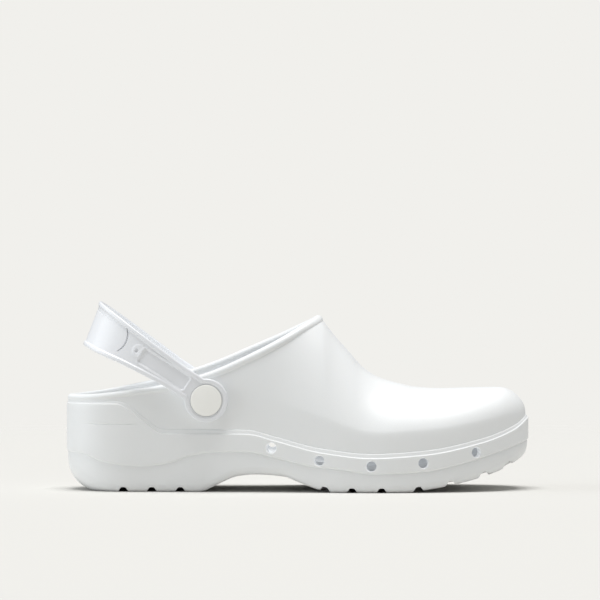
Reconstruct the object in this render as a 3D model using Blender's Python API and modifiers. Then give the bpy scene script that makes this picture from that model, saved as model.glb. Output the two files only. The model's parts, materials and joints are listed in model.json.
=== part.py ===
"""Closed-toe work clog, right foot: one hollow moulded body with its sole, a removable insole,
and a stiff moulded heel strap that swings on two rivets.

The frame: +X points to the toe, +Y to the inner side of the foot, +Z up. The origin is on the floor,
under the middle of the heel tread. Lengths are in metres.
"""

import math

import bmesh
import bpy
from mathutils import Vector

MM = 0.001

# Overall sizes of the shoe
SHOE_LENGTH = 285 * MM
BALL_WIDTH = 107 * MM
HEEL_WIDTH = 75 * MM
TOE_HEIGHT = 62.5 * MM
INSTEP_HEIGHT = 104.5 * MM
HEEL_RIM_HEIGHT = 55.5 * MM
INNER_COLLAR_RISE = 4.3 * MM  # the collar stands higher on the inner side of the foot
HEEL_CENTRE = 43 * MM  # from the back of the heel to the origin

# Ends of the plan outline
HEEL_ROUND = 42 * MM
TOE_ROUND = 102 * MM
TOE_SHIFT = 7 * MM  # the tip leans to the inner side

# Sole
TOE_SPRING = 18.5 * MM
ARCH_HEIGHT = 10.7 * MM
SOLE_EDGE = 4 * MM
SOLE_EDGE_HEIGHT = 5 * MM
HEEL_ROLL = 18 * MM
HEEL_ROLL_HEIGHT = 23 * MM
TOE_ROLL = 8 * MM
TOE_ROLL_HEIGHT = 13 * MM
BAND_HEIGHT = 21 * MM  # top of the side band at the ball, its lowest place
BAND_TOE_DROP = 18 * MM  # from the top of the toe box down to the band's edge at the tip
BAND_WAIST_HEIGHT = 35.3 * MM
COUNTER_DROP = 2 * MM  # from the heel rim down to the edge of the raised heel counter
STEP_HEIGHT = 12 * MM  # the step below the band, at the ball
STEP_WAIST_HEIGHT = 25 * MM
STEP_DEPTH = 0.8 * MM
LIP_HEIGHT = 2.2 * MM

# Upper
UPPER_INSET = 1.8 * MM  # the upper stands this far inside the band
HEEL_INSET = 0.8 * MM  # and this far at the heel
WALL = 3.5 * MM
NOSE_LENGTH = 17 * MM  # rounding at the front of the toe box
SECTION_SIDE = 2.5  # how square the sections are, sideways and upwards
SECTION_CROWN = 2.1
THROAT_LENGTH = 158 * MM  # from the back of the heel to the front of the collar
RIM_ROLL_HEEL = 0.2 * MM  # how far the collar's rolled edge stands out from the wall
RIM_ROLL_THROAT = 1.05 * MM

# Inside
FOOTBED_HEEL_HEIGHT = 27 * MM
FOOTBED_BALL_HEIGHT = 10.5 * MM
FOOTBED_TOE_HEIGHT = 22 * MM
FOOTBED_CUP = 1.6 * MM
FOOTBED_FILLET = 2.5 * MM
INSOLE_THICKNESS = 4 * MM
INSOLE_SIDE_GAP = 0.8 * MM
PIECE_GAP = 0.3 * MM
MERGE_GAP = 0.002 * MM  # points of neighbouring patches nearer than this are one

# Treads and vents
GROOVE_WIDTH = 5 * MM
GROOVE_DEPTH = 2.2 * MM
VENT_DIAMETER = 6.2 * MM
VENT_DROP = 4.8 * MM  # from the band's top edge to a vent's middle

# Heel strap
PIVOT_DISTANCE = 86.8 * MM  # from the back of the heel
PIVOT_HEIGHT = 55.8 * MM
STRAP_TILT = 33  # degrees above the floor, at rest
STRAP_REACH = 85.5 * MM  # from the rivets to its back, outside
STRAP_THICKNESS = 2.6 * MM
STRAP_RIM = 0.8 * MM
STRAP_RIM_WIDTH = 2.2 * MM
STRAP_BEND = 2.6  # how square the strap's turn behind the heel is
BOSS_RADIUS = 13.2 * MM
BOSS_THICKNESS = 4.2 * MM
BOSS_LENGTH = 24 * MM  # where the thick boss has run out into the arm
STRAP_WIDTH = 29 * MM  # at the back, its widest
STRAP_LEAN = 0.25  # slope of the strap's back in its own plane
PANEL_START = 15 * MM
PANEL_END = 49 * MM
PANEL_WIDTH = 9.5 * MM
PANEL_DEPTH = 0.7 * MM
STRAP_STEP = 0.5 * MM  # length of the slopes into the panel and the boss's sunk face

# Rivets
CAP_RADIUS = 9.5 * MM
CAP_THICKNESS = 1.5 * MM
CAP_DOME = 0.5 * MM
SHANK_RADIUS = 3.5 * MM
SOCKET_RADIUS = 7 * MM
SOCKET_THICKNESS = 1.6 * MM
PAD_RADIUS = 11 * MM

# Mesh fineness
BACK_STATIONS = 20  # from the heel to the throat
FRONT_STATIONS = 16  # from the throat to the toe
SECTION_STEPS = 8
RIM_STEPS = 7
ROUND_SIDES = 28
BEND_STEPS = 9  # stations round the strap's turn, on each side

OUTER = -1  # the outer side of a right foot lies at -Y
INNER = 1

# Plan outline: share of the length, half width as a share of the width it follows, and sideways
# shift of the middle as a share of the toe's shift. Rows up to PLAN_HEEL follow the heel width, the
# rest the ball width.
PLAN_HEEL = 0.30
PLAN = (
    (0.00, 0.500, 0.00),
    (0.15, 0.500, 0.00),
    (0.30, 0.510, -0.16),
    (0.42, 0.385, -0.31),
    (0.52, 0.432, -0.28),
    (0.62, 0.486, -0.09),
    (0.70, 0.503, 0.06),
    (0.85, 0.503, 0.46),
    (1.00, 0.503, 1.00),
)

# Underside along the middle: share of the length, share of the arch height, share of the toe spring
UNDERSIDE = (
    (0.000, 0.00, 0.00),
    (0.290, 0.00, 0.00),
    (0.333, 0.48, 0.00),
    (0.371, 0.90, 0.00),
    (0.410, 1.00, 0.00),
    (0.468, 0.90, 0.00),
    (0.507, 0.52, 0.00),
    (0.545, 0.16, 0.00),
    (0.575, 0.00, 0.00),
    (0.720, 0.00, 0.00),
    (0.800, 0.00, 0.15),
    (0.860, 0.00, 0.34),
    (0.930, 0.00, 0.66),
    (0.975, 0.00, 1.00),
    (1.000, 0.00, 1.25),
)

# Top edge of the side band: share of the length, then the heights it follows as shares of their
# named sizes: ball, toe, waist and heel
BAND_TOP = (
    (0.000, 0.00, 0.00, 0.00, 1.00),
    (0.110, 0.00, 0.00, 0.00, 1.00),
    (0.133, 0.00, 0.00, 0.13, 0.87),
    (0.172, 0.00, 0.00, 0.60, 0.40),
    (0.215, 0.00, 0.00, 1.00, 0.00),
    (0.390, 0.00, 0.00, 1.00, 0.00),
    (0.450, 0.28, 0.00, 0.72, 0.00),
    (0.550, 0.78, 0.00, 0.22, 0.00),
    (0.656, 1.00, 0.00, 0.00, 0.00),
    (0.770, 0.92, 0.08, 0.00, 0.00),
    (0.888, 0.64, 0.36, 0.00, 0.00),
    (0.966, 0.30, 0.70, 0.00, 0.00),
    (1.000, 0.00, 1.00, 0.00, 0.00),
)

# Step below the band: share of the length, shares of the step's heights at the ball and the waist
BAND_STEP = (
    (0.000, 0.00, 0.98),
    (0.040, 0.00, 0.93),
    (0.085, 0.30, 0.60),
    (0.160, 0.55, 0.38),
    (0.225, 0.40, 0.54),
    (0.265, 0.10, 0.84),
    (0.320, 0.00, 1.00),
    (0.390, 0.00, 1.00),
    (0.450, 0.24, 0.75),
    (0.530, 0.76, 0.29),
    (0.595, 0.96, 0.12),
    (0.656, 1.00, 0.00),
    (0.770, 0.95, 0.08),
    (0.840, 0.90, 0.26),
    (0.920, 0.60, 0.66),
    (1.000, 0.40, 1.05),
)

# Crown of the upper, its rise from the toe height to the instep height. The first column is 0 at the
# throat, 1 at the toe and -1 at the heel. Behind the throat the crown goes on upwards, as the last
# does, and the collar cuts it there.
CROWN = (
    (-1.000, 2.60),
    (-0.459, 2.30),
    (-0.242, 1.78),
    (-0.098, 1.27),
    (0.000, 1.00),
    (0.054, 0.79),
    (0.131, 0.52),
    (0.190, 0.315),
    (0.248, 0.185),
    (0.300, 0.120),
    (0.365, 0.065),
    (0.442, 0.012),
    (0.560, -0.015),
    (0.753, 0.000),
    (1.000, 0.005),
)

# Collar seen from the side: share of the throat length, share of the rise from heel rim to instep,
# and share of the inner side's extra rise
COLLAR = (
    (0.00, 0.000, 0.00),
    (0.02, 0.001, 0.00),
    (0.10, 0.010, 0.10),
    (0.25, 0.055, 0.42),
    (0.40, 0.125, 0.80),
    (0.55, 0.255, 1.00),
    (0.72, 0.490, 0.88),
    (0.86, 0.725, 0.48),
    (0.95, 0.905, 0.14),
    (1.00, 1.000, 0.00),
)

# Footbed: share of the length, then shares of the heel, ball and toe heights
FOOTBED = (
    (0.00, 1.00, 0.00, 0.00),
    (0.18, 0.99, 0.00, 0.00),
    (0.32, 0.80, 0.14, 0.00),
    (0.45, 0.37, 0.66, 0.00),
    (0.55, 0.08, 0.98, 0.00),
    (0.66, 0.00, 1.00, 0.00),
    (0.77, 0.00, 0.92, 0.08),
    (0.88, 0.00, 0.45, 0.55),
    (1.00, 0.00, 0.00, 1.00),
)

# Distance of each tread groove and vent from the heel, as a share of the length
HEEL_GROOVES = (0.127, 0.188, 0.249)
FOREFOOT_GROOVES = (0.558, 0.615, 0.678, 0.756, 0.825, 0.897, 0.950)
VENTS = (0.443, 0.545, 0.656, 0.767, 0.881)

# Heel strap's edges: share of its reach, then the lower and the upper edge as shares of its width
STRAP_EDGES = (
    (0.00, -0.225, 0.355),
    (0.28, -0.230, 0.360),
    (0.41, -0.260, 0.380),
    (0.63, -0.335, 0.425),
    (0.85, -0.440, 0.475),
    (0.97, -0.480, 0.500),
    (1.00, -0.490, 0.510),
)

MATERIALS = {
    "body_foam": ((0.86, 0.87, 0.87, 1), 0.45),
    "insole_foam": ((0.84, 0.85, 0.85, 1), 0.75),
    "strap_plastic": ((0.85, 0.86, 0.88, 1), 0.38),
    "rivet_plastic": ((0.80, 0.80, 0.77, 1), 0.35),
}


def smooth_between(rows, column, share):
    """Reads a table's column at a share of the length, on a smooth curve that never overshoots."""
    places = [row[0] for row in rows]
    values = [row[column] for row in rows]
    slopes = [
        (values[i + 1] - values[i]) / (places[i + 1] - places[i]) for i in range(len(rows) - 1)
    ]
    tangents = [slopes[0]]
    for before, after in zip(slopes, slopes[1:]):
        tangents.append(0 if before * after <= 0 else 2 * before * after / (before + after))
    tangents.append(slopes[-1])
    share = min(max(share, places[0]), places[-1])
    i = 0
    while i < len(rows) - 2 and share > places[i + 1]:
        i += 1
    span = places[i + 1] - places[i]
    t = (share - places[i]) / span
    return (
        values[i] * (1 + 2 * t) * (1 - t) ** 2
        + tangents[i] * span * t * (1 - t) ** 2
        + values[i + 1] * t * t * (3 - 2 * t)
        - tangents[i + 1] * span * t * t * (1 - t)
    )


def end_round(distance, length, along, across):
    """Shrinks from 1 to 0 over the last stretch of an outline, as a superellipse does."""
    if distance >= length:
        return 1.0
    share = min(1.0, 1 - distance / length)
    return (1 - share**along) ** (1 / across)


def middle(x):
    return smooth_between(PLAN, 2, x / SHOE_LENGTH) * TOE_SHIFT


def half_width(x):
    """Half the width of the side band at x from the back of the heel."""
    share = x / SHOE_LENGTH
    heel_rows = [(row[0], row[1] * HEEL_WIDTH) for row in PLAN if row[0] <= PLAN_HEEL]
    ball_rows = [(row[0], row[1] * BALL_WIDTH) for row in PLAN if row[0] > PLAN_HEEL]
    base = smooth_between(heel_rows + ball_rows, 1, share)
    return (
        base
        * end_round(x, HEEL_ROUND, 2.3, 2.1)
        * end_round(SHOE_LENGTH - x, TOE_ROUND, 2.5, 2.25)
    )


def angle_at(x):
    """The angle that stands for x round the outline: 0 at the heel, pi at the toe."""
    return math.acos(min(1.0, max(-1.0, 1 - 2 * x / SHOE_LENGTH)))


def outline(angle, inset):
    """Place along the shoe, half width and forward lean of the normal on the outline, moved inwards."""

    def raw(a):
        place = SHOE_LENGTH * (1 - math.cos(a)) / 2
        return place, math.copysign(half_width(place), math.sin(a))

    small = 1e-4
    x0, w0 = raw(angle - small)
    x1, w1 = raw(angle + small)
    length = math.hypot(x1 - x0, w1 - w0)
    lean = -(w1 - w0) / length
    side = (x1 - x0) / length
    place = SHOE_LENGTH * (1 - math.cos(angle)) / 2
    return place - lean * inset, half_width(place) - side * inset, lean


def underside(x):
    share = x / SHOE_LENGTH
    return (
        smooth_between(UNDERSIDE, 1, share) * ARCH_HEIGHT
        + smooth_between(UNDERSIDE, 2, share) * TOE_SPRING
    )


def band_top(x):
    toe = TOE_HEIGHT - BAND_TOE_DROP
    heel = HEEL_RIM_HEIGHT - COUNTER_DROP
    heights = (BAND_HEIGHT, toe, BAND_WAIST_HEIGHT, heel)
    return sum(
        smooth_between(BAND_TOP, 1 + i, x / SHOE_LENGTH) * height
        for i, height in enumerate(heights)
    )


def band_step(x):
    share = x / SHOE_LENGTH
    return (
        smooth_between(BAND_STEP, 1, share) * STEP_HEIGHT
        + smooth_between(BAND_STEP, 2, share) * STEP_WAIST_HEIGHT
    )


def upper_inset(angle):
    """How far the upper stands inside the band at a station."""
    share = min(1.0, (1 - math.cos(angle)) / 2 / PLAN_HEEL)
    return HEEL_INSET + (UPPER_INSET - HEEL_INSET) * share


def collar_height(x, side):
    """Height of the collar where it leaves the upper's outer face, below its rolled edge."""
    share = smooth_between(COLLAR, 1, x / THROAT_LENGTH)
    extra = smooth_between(COLLAR, 2, x / THROAT_LENGTH) if side == INNER else 0
    return HEEL_RIM_HEIGHT + share * (INSTEP_HEIGHT - HEEL_RIM_HEIGHT) + extra * INNER_COLLAR_RISE


def upper_base(x):
    """Height at which the upper's own sections start, above the lip of the band."""
    top = band_top(x)
    if x >= THROAT_LENGTH:
        return top + LIP_HEIGHT
    return top + min(LIP_HEIGHT, 0.4 * (collar_height(x, OUTER) - top))


def crown_height(x):
    span = SHOE_LENGTH - THROAT_LENGTH if x > THROAT_LENGTH else THROAT_LENGTH
    rise = smooth_between(CROWN, 1, (x - THROAT_LENGTH) / span) * (INSTEP_HEIGHT - TOE_HEIGHT)
    base = upper_base(x)
    nose = end_round(SHOE_LENGTH - UPPER_INSET - x, NOSE_LENGTH, 2.2, 2.2)
    return base + (TOE_HEIGHT + rise - base) * nose


def power(value, exponent):
    return math.copysign(abs(value) ** exponent, value)


def upper_point(angle, turn, side):
    """A point of the upper's outer face: turn runs from 0 at the band to pi/2 at the crown."""
    x, half, _ = outline(angle, upper_inset(angle))
    base = upper_base(x)
    y = middle(x) + side * half * power(math.cos(turn), 2 / SECTION_SIDE)
    z = base + (crown_height(x) - base) * power(math.sin(turn), 2 / SECTION_CROWN)
    return Vector((x, y, z))


def upper_normal(angle, turn, side):
    """The upper's outward normal, from the slopes of its own function."""
    x = SHOE_LENGTH * (1 - math.cos(angle)) / 2
    if x < MM * 0.01:
        return Vector((-1, 0, 0))
    if x > SHOE_LENGTH - MM * 0.01:
        return Vector((1, 0, 0))
    small = 1e-3
    turn = max(turn, small)
    along = upper_point(angle + small, turn, side) - upper_point(angle - small, turn, side)
    up = upper_point(angle, turn + small, side) - upper_point(angle, turn - small, side)
    normal = along.cross(up).normalized()
    outward = Vector((0, side * math.cos(turn), math.sin(turn)))
    return normal if normal.dot(outward) > 0 else -normal


def last_turn(angle, side):
    """The turn at which the section ends: at the collar behind the throat, else at the crown."""
    x = outline(angle, upper_inset(angle))[0]
    if x >= THROAT_LENGTH:
        return math.pi / 2
    base = upper_base(x)
    share = (collar_height(x, side) - base) / (crown_height(x) - base)
    return math.asin(min(1.0, share ** (SECTION_CROWN / 2)))


def station_angles():
    """Stations from heel to toe, close together at the heel, on both sides of the throat and at the toe."""
    places = [
        THROAT_LENGTH * (1 - math.cos(math.pi * k / BACK_STATIONS)) / 2
        for k in range(BACK_STATIONS + 1)
    ]
    front = SHOE_LENGTH - THROAT_LENGTH
    places += [
        THROAT_LENGTH + front * (1 - math.cos(math.pi * k / FRONT_STATIONS)) / 2
        for k in range(1, FRONT_STATIONS + 1)
    ]
    return [angle_at(x) for x in places]


def side_profile(angle, side):
    """Points of one station from the tread's edge up the sole's side to the lip of the band."""
    place = SHOE_LENGTH * (1 - math.cos(angle)) / 2
    _, _, lean = outline(angle, 0)
    top = band_top(place)
    step = band_step(place)
    if place < SHOE_LENGTH / 2:
        roll, roll_height = HEEL_ROLL, HEEL_ROLL_HEIGHT
    else:
        roll, roll_height = TOE_ROLL, TOE_ROLL_HEIGHT
    edge = SOLE_EDGE + (roll - SOLE_EDGE) * lean * lean
    edge_height = SOLE_EDGE_HEIGHT + (roll_height - SOLE_EDGE_HEIGHT) * lean * lean
    floor = underside(outline(angle, edge)[0])
    edge_height = min(edge_height, 0.8 * (step - floor))
    rows = []
    for share in (0, 0.25, 0.5, 0.75):
        turn = share * math.pi / 2
        rows.append((
            STEP_DEPTH + (edge - STEP_DEPTH) * (1 - math.sin(turn)),
            floor + edge_height * (1 - math.cos(turn)),
        ))
    rows.append((STEP_DEPTH, floor + edge_height))
    rows.append((STEP_DEPTH, step - STEP_DEPTH))
    rows.append((0, step))
    rows.append((0, top - STEP_DEPTH))
    rows.append((0.4 * STEP_DEPTH, top))
    crease = upper_inset(angle)
    base = upper_base(outline(angle, crease)[0])
    rows.append((crease, top + 0.25 * (base - top)))
    points = []
    for inset, z in rows:
        x, half, _ = outline(angle, inset)
        points.append(Vector((x, middle(x) + side * half, z)))
    return points


def section_turns(angle, side):
    end = last_turn(angle, side)
    return [end * j / SECTION_STEPS for j in range(SECTION_STEPS + 1)]


def outer_rows(angle, side):
    return side_profile(angle, side) + [
        upper_point(angle, turn, side) for turn in section_turns(angle, side)
    ]


def inner_upper(angle, side):
    return [
        upper_point(angle, turn, side) - WALL * upper_normal(angle, turn, side)
        for turn in section_turns(angle, side)
    ]


def footbed_height(x):
    heights = (FOOTBED_HEEL_HEIGHT, FOOTBED_BALL_HEIGHT, FOOTBED_TOE_HEIGHT)
    return sum(
        smooth_between(FOOTBED, 1 + i, x / SHOE_LENGTH) * height for i, height in enumerate(heights)
    )


def wall_foot(angle, side):
    """Points down the inner wall to the footbed, with a fillet at its foot."""
    inset = upper_inset(angle) + WALL
    x, half, _ = outline(angle, inset)
    edge = footbed_height(x) + FOOTBED_CUP
    points = [Vector((x, middle(x) + side * half, edge + FOOTBED_FILLET))]
    for share in (0.5, 1):
        turn = share * math.pi / 2
        x, half, _ = outline(angle, inset + FOOTBED_FILLET * (1 - math.cos(turn)))
        z = edge + FOOTBED_FILLET * (1 - math.sin(turn))
        points.append(Vector((x, middle(x) + side * half, z)))
    return points


def across(outer, inner, height, cup, shares=(0, 0.1, 0.25, 0.5, 0.75, 0.9, 1)):
    """A row of points from the outer side to the inner side, sunk in the middle by cup."""
    row = []
    for share in shares:
        point = outer.lerp(inner, share)
        if 0 < share < 1:
            point.z = height + cup * abs(2 * share - 1) ** 4
        row.append(point)
    return row


def add_grid(mesh, rows):
    """Quads between rows of points of equal length."""
    grid = [[mesh.verts.new(point) for point in row] for row in rows]
    for row, following in zip(grid, grid[1:]):
        for i in range(len(row) - 1):
            mesh.faces.new((row[i], row[i + 1], following[i + 1], following[i]))


def finish_mesh(mesh, name):
    """Closes the patches into one skin that points outwards, in the shoe's own frame."""
    bmesh.ops.remove_doubles(mesh, verts=mesh.verts, dist=MERGE_GAP)
    bmesh.ops.dissolve_degenerate(mesh, dist=MERGE_GAP / 2, edges=mesh.edges)
    bmesh.ops.recalc_face_normals(mesh, faces=mesh.faces)
    bmesh.ops.translate(mesh, vec=(-HEEL_CENTRE, 0, 0), verts=mesh.verts)
    return shaded(mesh, name)


def shaded(mesh, name):
    """Turns a bmesh into mesh data, shaded smooth between its sharp edges."""
    data = bpy.data.meshes.new(name)
    mesh.to_mesh(data)
    mesh.free()
    data.shade_smooth()
    data.set_sharp_from_angle(angle=math.radians(35))
    return data


def add_object(name, data, material, collection):
    shape = bpy.data.objects.new(name, data)
    collection.objects.link(shape)
    if material:
        shape.data.materials.append(material)
    return shape


def rim_roll(x):
    return RIM_ROLL_HEEL + (RIM_ROLL_THROAT - RIM_ROLL_HEEL) * x / THROAT_LENGTH


def rim_bead(collar_points, inner_points):
    """Rolled edge between the outer and the inner collar line, one row of points per station."""
    rows = []
    count = len(collar_points)
    for i in range(count):
        outer, inner = collar_points[i], inner_points[i]
        tangent = collar_points[(i + 1) % count] - collar_points[i - 1]
        outward = (outer - inner).normalized()
        upward = tangent.cross(outward).normalized()
        if upward.dot(Vector((-0.5, 0, 1))) < 0:
            upward = -upward
        radius = WALL / 2 + rim_roll(outer.x)
        chord = (outer - inner).length / 2
        rise = math.sqrt(max(radius * radius - chord * chord, 0))
        centre = (outer + inner) / 2 + rise * upward
        start = -math.asin(rise / radius)
        row = []
        for step in range(RIM_STEPS + 1):
            turn = start + (math.pi - 2 * start) * step / RIM_STEPS
            row.append(centre + radius * (math.cos(turn) * outward + math.sin(turn) * upward))
        row[0], row[-1] = outer.copy(), inner.copy()
        rows.append(row)
    return rows


def body_mesh():
    """Sole and upper, moulded whole: outer skin, rolled collar, inner skin, footbed and underside."""
    angles = station_angles()
    mesh = bmesh.new()
    outer = {side: [outer_rows(a, side) for a in angles] for side in (OUTER, INNER)}
    inner = {
        side: [wall_foot(a, side)[::-1] + inner_upper(a, side) for a in angles]
        for side in (OUTER, INNER)
    }
    for side in (OUTER, INNER):
        add_grid(mesh, outer[side])
        add_grid(mesh, inner[side])
    loop = [(OUTER, k) for k in range(BACK_STATIONS + 1)]
    loop += [(INNER, k) for k in range(BACK_STATIONS - 1, 0, -1)]
    bead = rim_bead(
        [outer[side][k][-1] for side, k in loop],
        [inner[side][k][-1] for side, k in loop],
    )
    add_grid(mesh, bead + bead[:1])
    add_grid(mesh, [
        across(a[0], b[0], footbed_height(a[0].x), FOOTBED_CUP)
        for a, b in zip(inner[OUTER], inner[INNER])
    ])
    add_grid(mesh, [
        across(a[0], b[0], a[0].z, 0) for a, b in zip(outer[OUTER], outer[INNER])
    ])
    return finish_mesh(mesh, "upper_and_sole")


def insole_mesh():
    """Removable insole: it follows the footbed, with a soft edge and a slight cup."""
    angles = station_angles()
    mesh = bmesh.new()
    lower, upper = [], []
    edges = {OUTER: [], INNER: []}
    for angle in angles:
        inset = upper_inset(angle) + WALL + FOOTBED_FILLET + INSOLE_SIDE_GAP
        ends = {}
        for side in (OUTER, INNER):
            x, half, _ = outline(angle, inset)
            bed = footbed_height(x) + PIECE_GAP
            foot = Vector((x, middle(x) + side * half, bed + FOOTBED_CUP))
            x, half, _ = outline(angle, inset - 0.3 * FOOTBED_FILLET)
            waist = Vector((x, middle(x) + side * half, bed + FOOTBED_CUP + 0.5 * INSOLE_THICKNESS))
            x, half, _ = outline(angle, inset + 0.2 * FOOTBED_FILLET)
            top = Vector((x, middle(x) + side * half, bed + FOOTBED_CUP + INSOLE_THICKNESS))
            edges[side].append([foot, waist, top])
            ends[side] = (foot, top)
        bed = footbed_height(ends[OUTER][0].x) + PIECE_GAP
        lower.append(across(ends[OUTER][0], ends[INNER][0], bed, FOOTBED_CUP))
        upper.append(across(ends[OUTER][1], ends[INNER][1], bed + INSOLE_THICKNESS, FOOTBED_CUP))
    add_grid(mesh, lower)
    add_grid(mesh, upper)
    for side in (OUTER, INNER):
        add_grid(mesh, edges[side])
    return finish_mesh(mesh, "insole")


def cylinder(collection, name, radius, low, high, place, axis):
    """A round bar from low to high along an axis through place, in the shoe's frame."""
    mesh = bmesh.new()
    bmesh.ops.create_cone(
        mesh, cap_ends=True, segments=ROUND_SIDES, radius1=radius, radius2=radius, depth=high - low
    )
    bmesh.ops.translate(mesh, vec=(0, 0, (high + low) / 2), verts=mesh.verts)
    data = bpy.data.meshes.new(name)
    mesh.to_mesh(data)
    mesh.free()
    shape = add_object(name, data, None, collection)
    shape.rotation_mode = "QUATERNION"
    shape.rotation_quaternion = Vector(axis).to_track_quat("Z", "Y")
    shape.location = place
    return shape


def as_guide(shape):
    shape.hide_render = True
    shape.display_type = "WIRE"


def cut(shape, cutter, operation="DIFFERENCE"):
    modifier = shape.modifiers.new(cutter.name, "BOOLEAN")
    modifier.operation = operation
    modifier.object = cutter
    as_guide(cutter)


def groove_cutter(collection, share):
    """A bar with sloping sides that cuts one tread groove across the underside."""
    place = share * SHOE_LENGTH
    slope = math.atan2(underside(place + MM) - underside(place - MM), 2 * MM)
    low, high = -2 * GROOVE_DEPTH, GROOVE_DEPTH
    mouth, bottom = GROOVE_WIDTH, GROOVE_WIDTH / 4
    section = ((-mouth, low), (-bottom, high), (bottom, high), (mouth, low))
    mesh = bmesh.new()
    ring = [mesh.verts.new((x, -BALL_WIDTH, z)) for x, z in section]
    face = mesh.faces.new(ring)
    pushed = bmesh.ops.extrude_face_region(mesh, geom=[face])["geom"]
    moved = [v for v in pushed if isinstance(v, bmesh.types.BMVert)]
    bmesh.ops.translate(mesh, vec=(0, 2 * BALL_WIDTH, 0), verts=moved)
    bmesh.ops.recalc_face_normals(mesh, faces=mesh.faces)
    data = bpy.data.meshes.new("groove_cutter")
    mesh.to_mesh(data)
    mesh.free()
    shape = add_object("groove_cutter", data, None, collection)
    shape.rotation_euler = (0, -slope, 0)
    shape.location = (place - HEEL_CENTRE, 0, underside(place))
    return shape


def vent_cutter(collection, share, side):
    """A round duct square to the band, from outside into the shoe."""
    angle = angle_at(share * SHOE_LENGTH)
    x, half, lean = outline(angle, 0)
    outward = Vector((lean, side * math.sqrt(1 - lean * lean), 0))
    place = Vector((x - HEEL_CENTRE, middle(x) + side * half, band_top(x) - VENT_DROP))
    reach = UPPER_INSET + WALL + FOOTBED_FILLET
    return cylinder(
        collection, "vent_cutter", VENT_DIAMETER / 2, -reach, WALL, place, outward
    )


def spread_near_pivot(back, front, wall):
    """Least and greatest distance of the upper's face from the middle plane through the pivot, on both
    sides, from back to front of the pivot. A wall depth gives the inner face instead of the outer."""
    found = []
    for side in (OUTER, INNER):
        for i in range(9):
            angle = angle_at(PIVOT_DISTANCE - back + (back + front) * i / 8)
            for turn in section_turns(angle, side):
                point = upper_point(angle, turn, side) - wall * upper_normal(angle, turn, side)
                if point.z > PIVOT_HEIGHT - front:
                    found.append(side * (point.y - middle(PIVOT_DISTANCE)))
    return min(found), max(found)


def strap_edges(reach):
    """Lower and upper edge of the strap in its own plane, at a distance from the pivot."""
    boss = math.sqrt(max(BOSS_RADIUS**2 - reach**2, 0))
    if reach <= 0:
        return -boss, boss
    share = reach / STRAP_REACH
    low = smooth_between(STRAP_EDGES, 1, share) * STRAP_WIDTH
    high = smooth_between(STRAP_EDGES, 2, share) * STRAP_WIDTH
    return min(low, -boss), max(high, boss)


def strap_section(reach):
    """The strap's outer face from edge to edge: places across it and its thickness there."""
    low, high = strap_edges(reach)
    width = high - low
    fade = max(0.0, min(1.0, (reach - BOSS_RADIUS) / (BOSS_LENGTH - BOSS_RADIUS)))
    raised = BOSS_THICKNESS + (STRAP_THICKNESS + STRAP_RIM - BOSS_THICKNESS) * fade
    field = raised if reach < STRAP_RIM_WIDTH - BOSS_RADIUS else raised - STRAP_RIM
    panel_face = field - PANEL_DEPTH if PANEL_START < reach < PANEL_END else field
    rim = STRAP_RIM_WIDTH
    if reach < 0:
        rim = width / 2 - math.sqrt(max((BOSS_RADIUS - STRAP_RIM_WIDTH) ** 2 - reach**2, 0))
    rim = min(rim, 0.42 * width)
    slope = min(0.2 * STRAP_RIM_WIDTH, 0.02 * width)
    mid = (low + high) / 2
    panel = min(PANEL_WIDTH / 2, width / 2 - rim - 2 * slope)
    return (
        (low, raised),
        (low + rim, raised),
        (low + rim + slope, field),
        (mid - panel - slope, field),
        (mid - panel, panel_face),
        (mid + panel, panel_face),
        (mid + panel + slope, field),
        (high - rim - slope, field),
        (high - rim, raised),
        (high, raised),
    )


def strap_stations(half_gap):
    """Stations along the strap's inner face: reach from the pivot and distance from the middle."""
    inner_reach = STRAP_REACH - STRAP_THICKNESS - STRAP_RIM
    reaches = [-0.99 * BOSS_RADIUS, -0.93 * BOSS_RADIUS, STRAP_RIM_WIDTH - BOSS_RADIUS]
    reaches += [reaches[-1] + STRAP_STEP, -0.6 * BOSS_RADIUS, -0.3 * BOSS_RADIUS, 0]
    reaches += [0.3 * BOSS_RADIUS, 0.6 * BOSS_RADIUS, 0.85 * BOSS_RADIUS, PANEL_START]
    reaches += [PANEL_START + STRAP_STEP, BOSS_LENGTH, 0.5 * (BOSS_LENGTH + PANEL_END)]
    reaches += [PANEL_END - STRAP_STEP, PANEL_END]
    stations = [
        (reach, half_gap * (1 - max(0, reach / inner_reach) ** STRAP_BEND) ** (1 / STRAP_BEND))
        for reach in reaches
    ]
    start = math.asin((PANEL_END / inner_reach) ** (STRAP_BEND / 2))
    for i in range(1, BEND_STEPS + 1):
        turn = start + (math.pi / 2 - start) * i / BEND_STEPS
        stations.append((
            inner_reach * math.sin(turn) ** (2 / STRAP_BEND),
            half_gap * max(0, math.cos(turn)) ** (2 / STRAP_BEND),
        ))
    return stations


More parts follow.
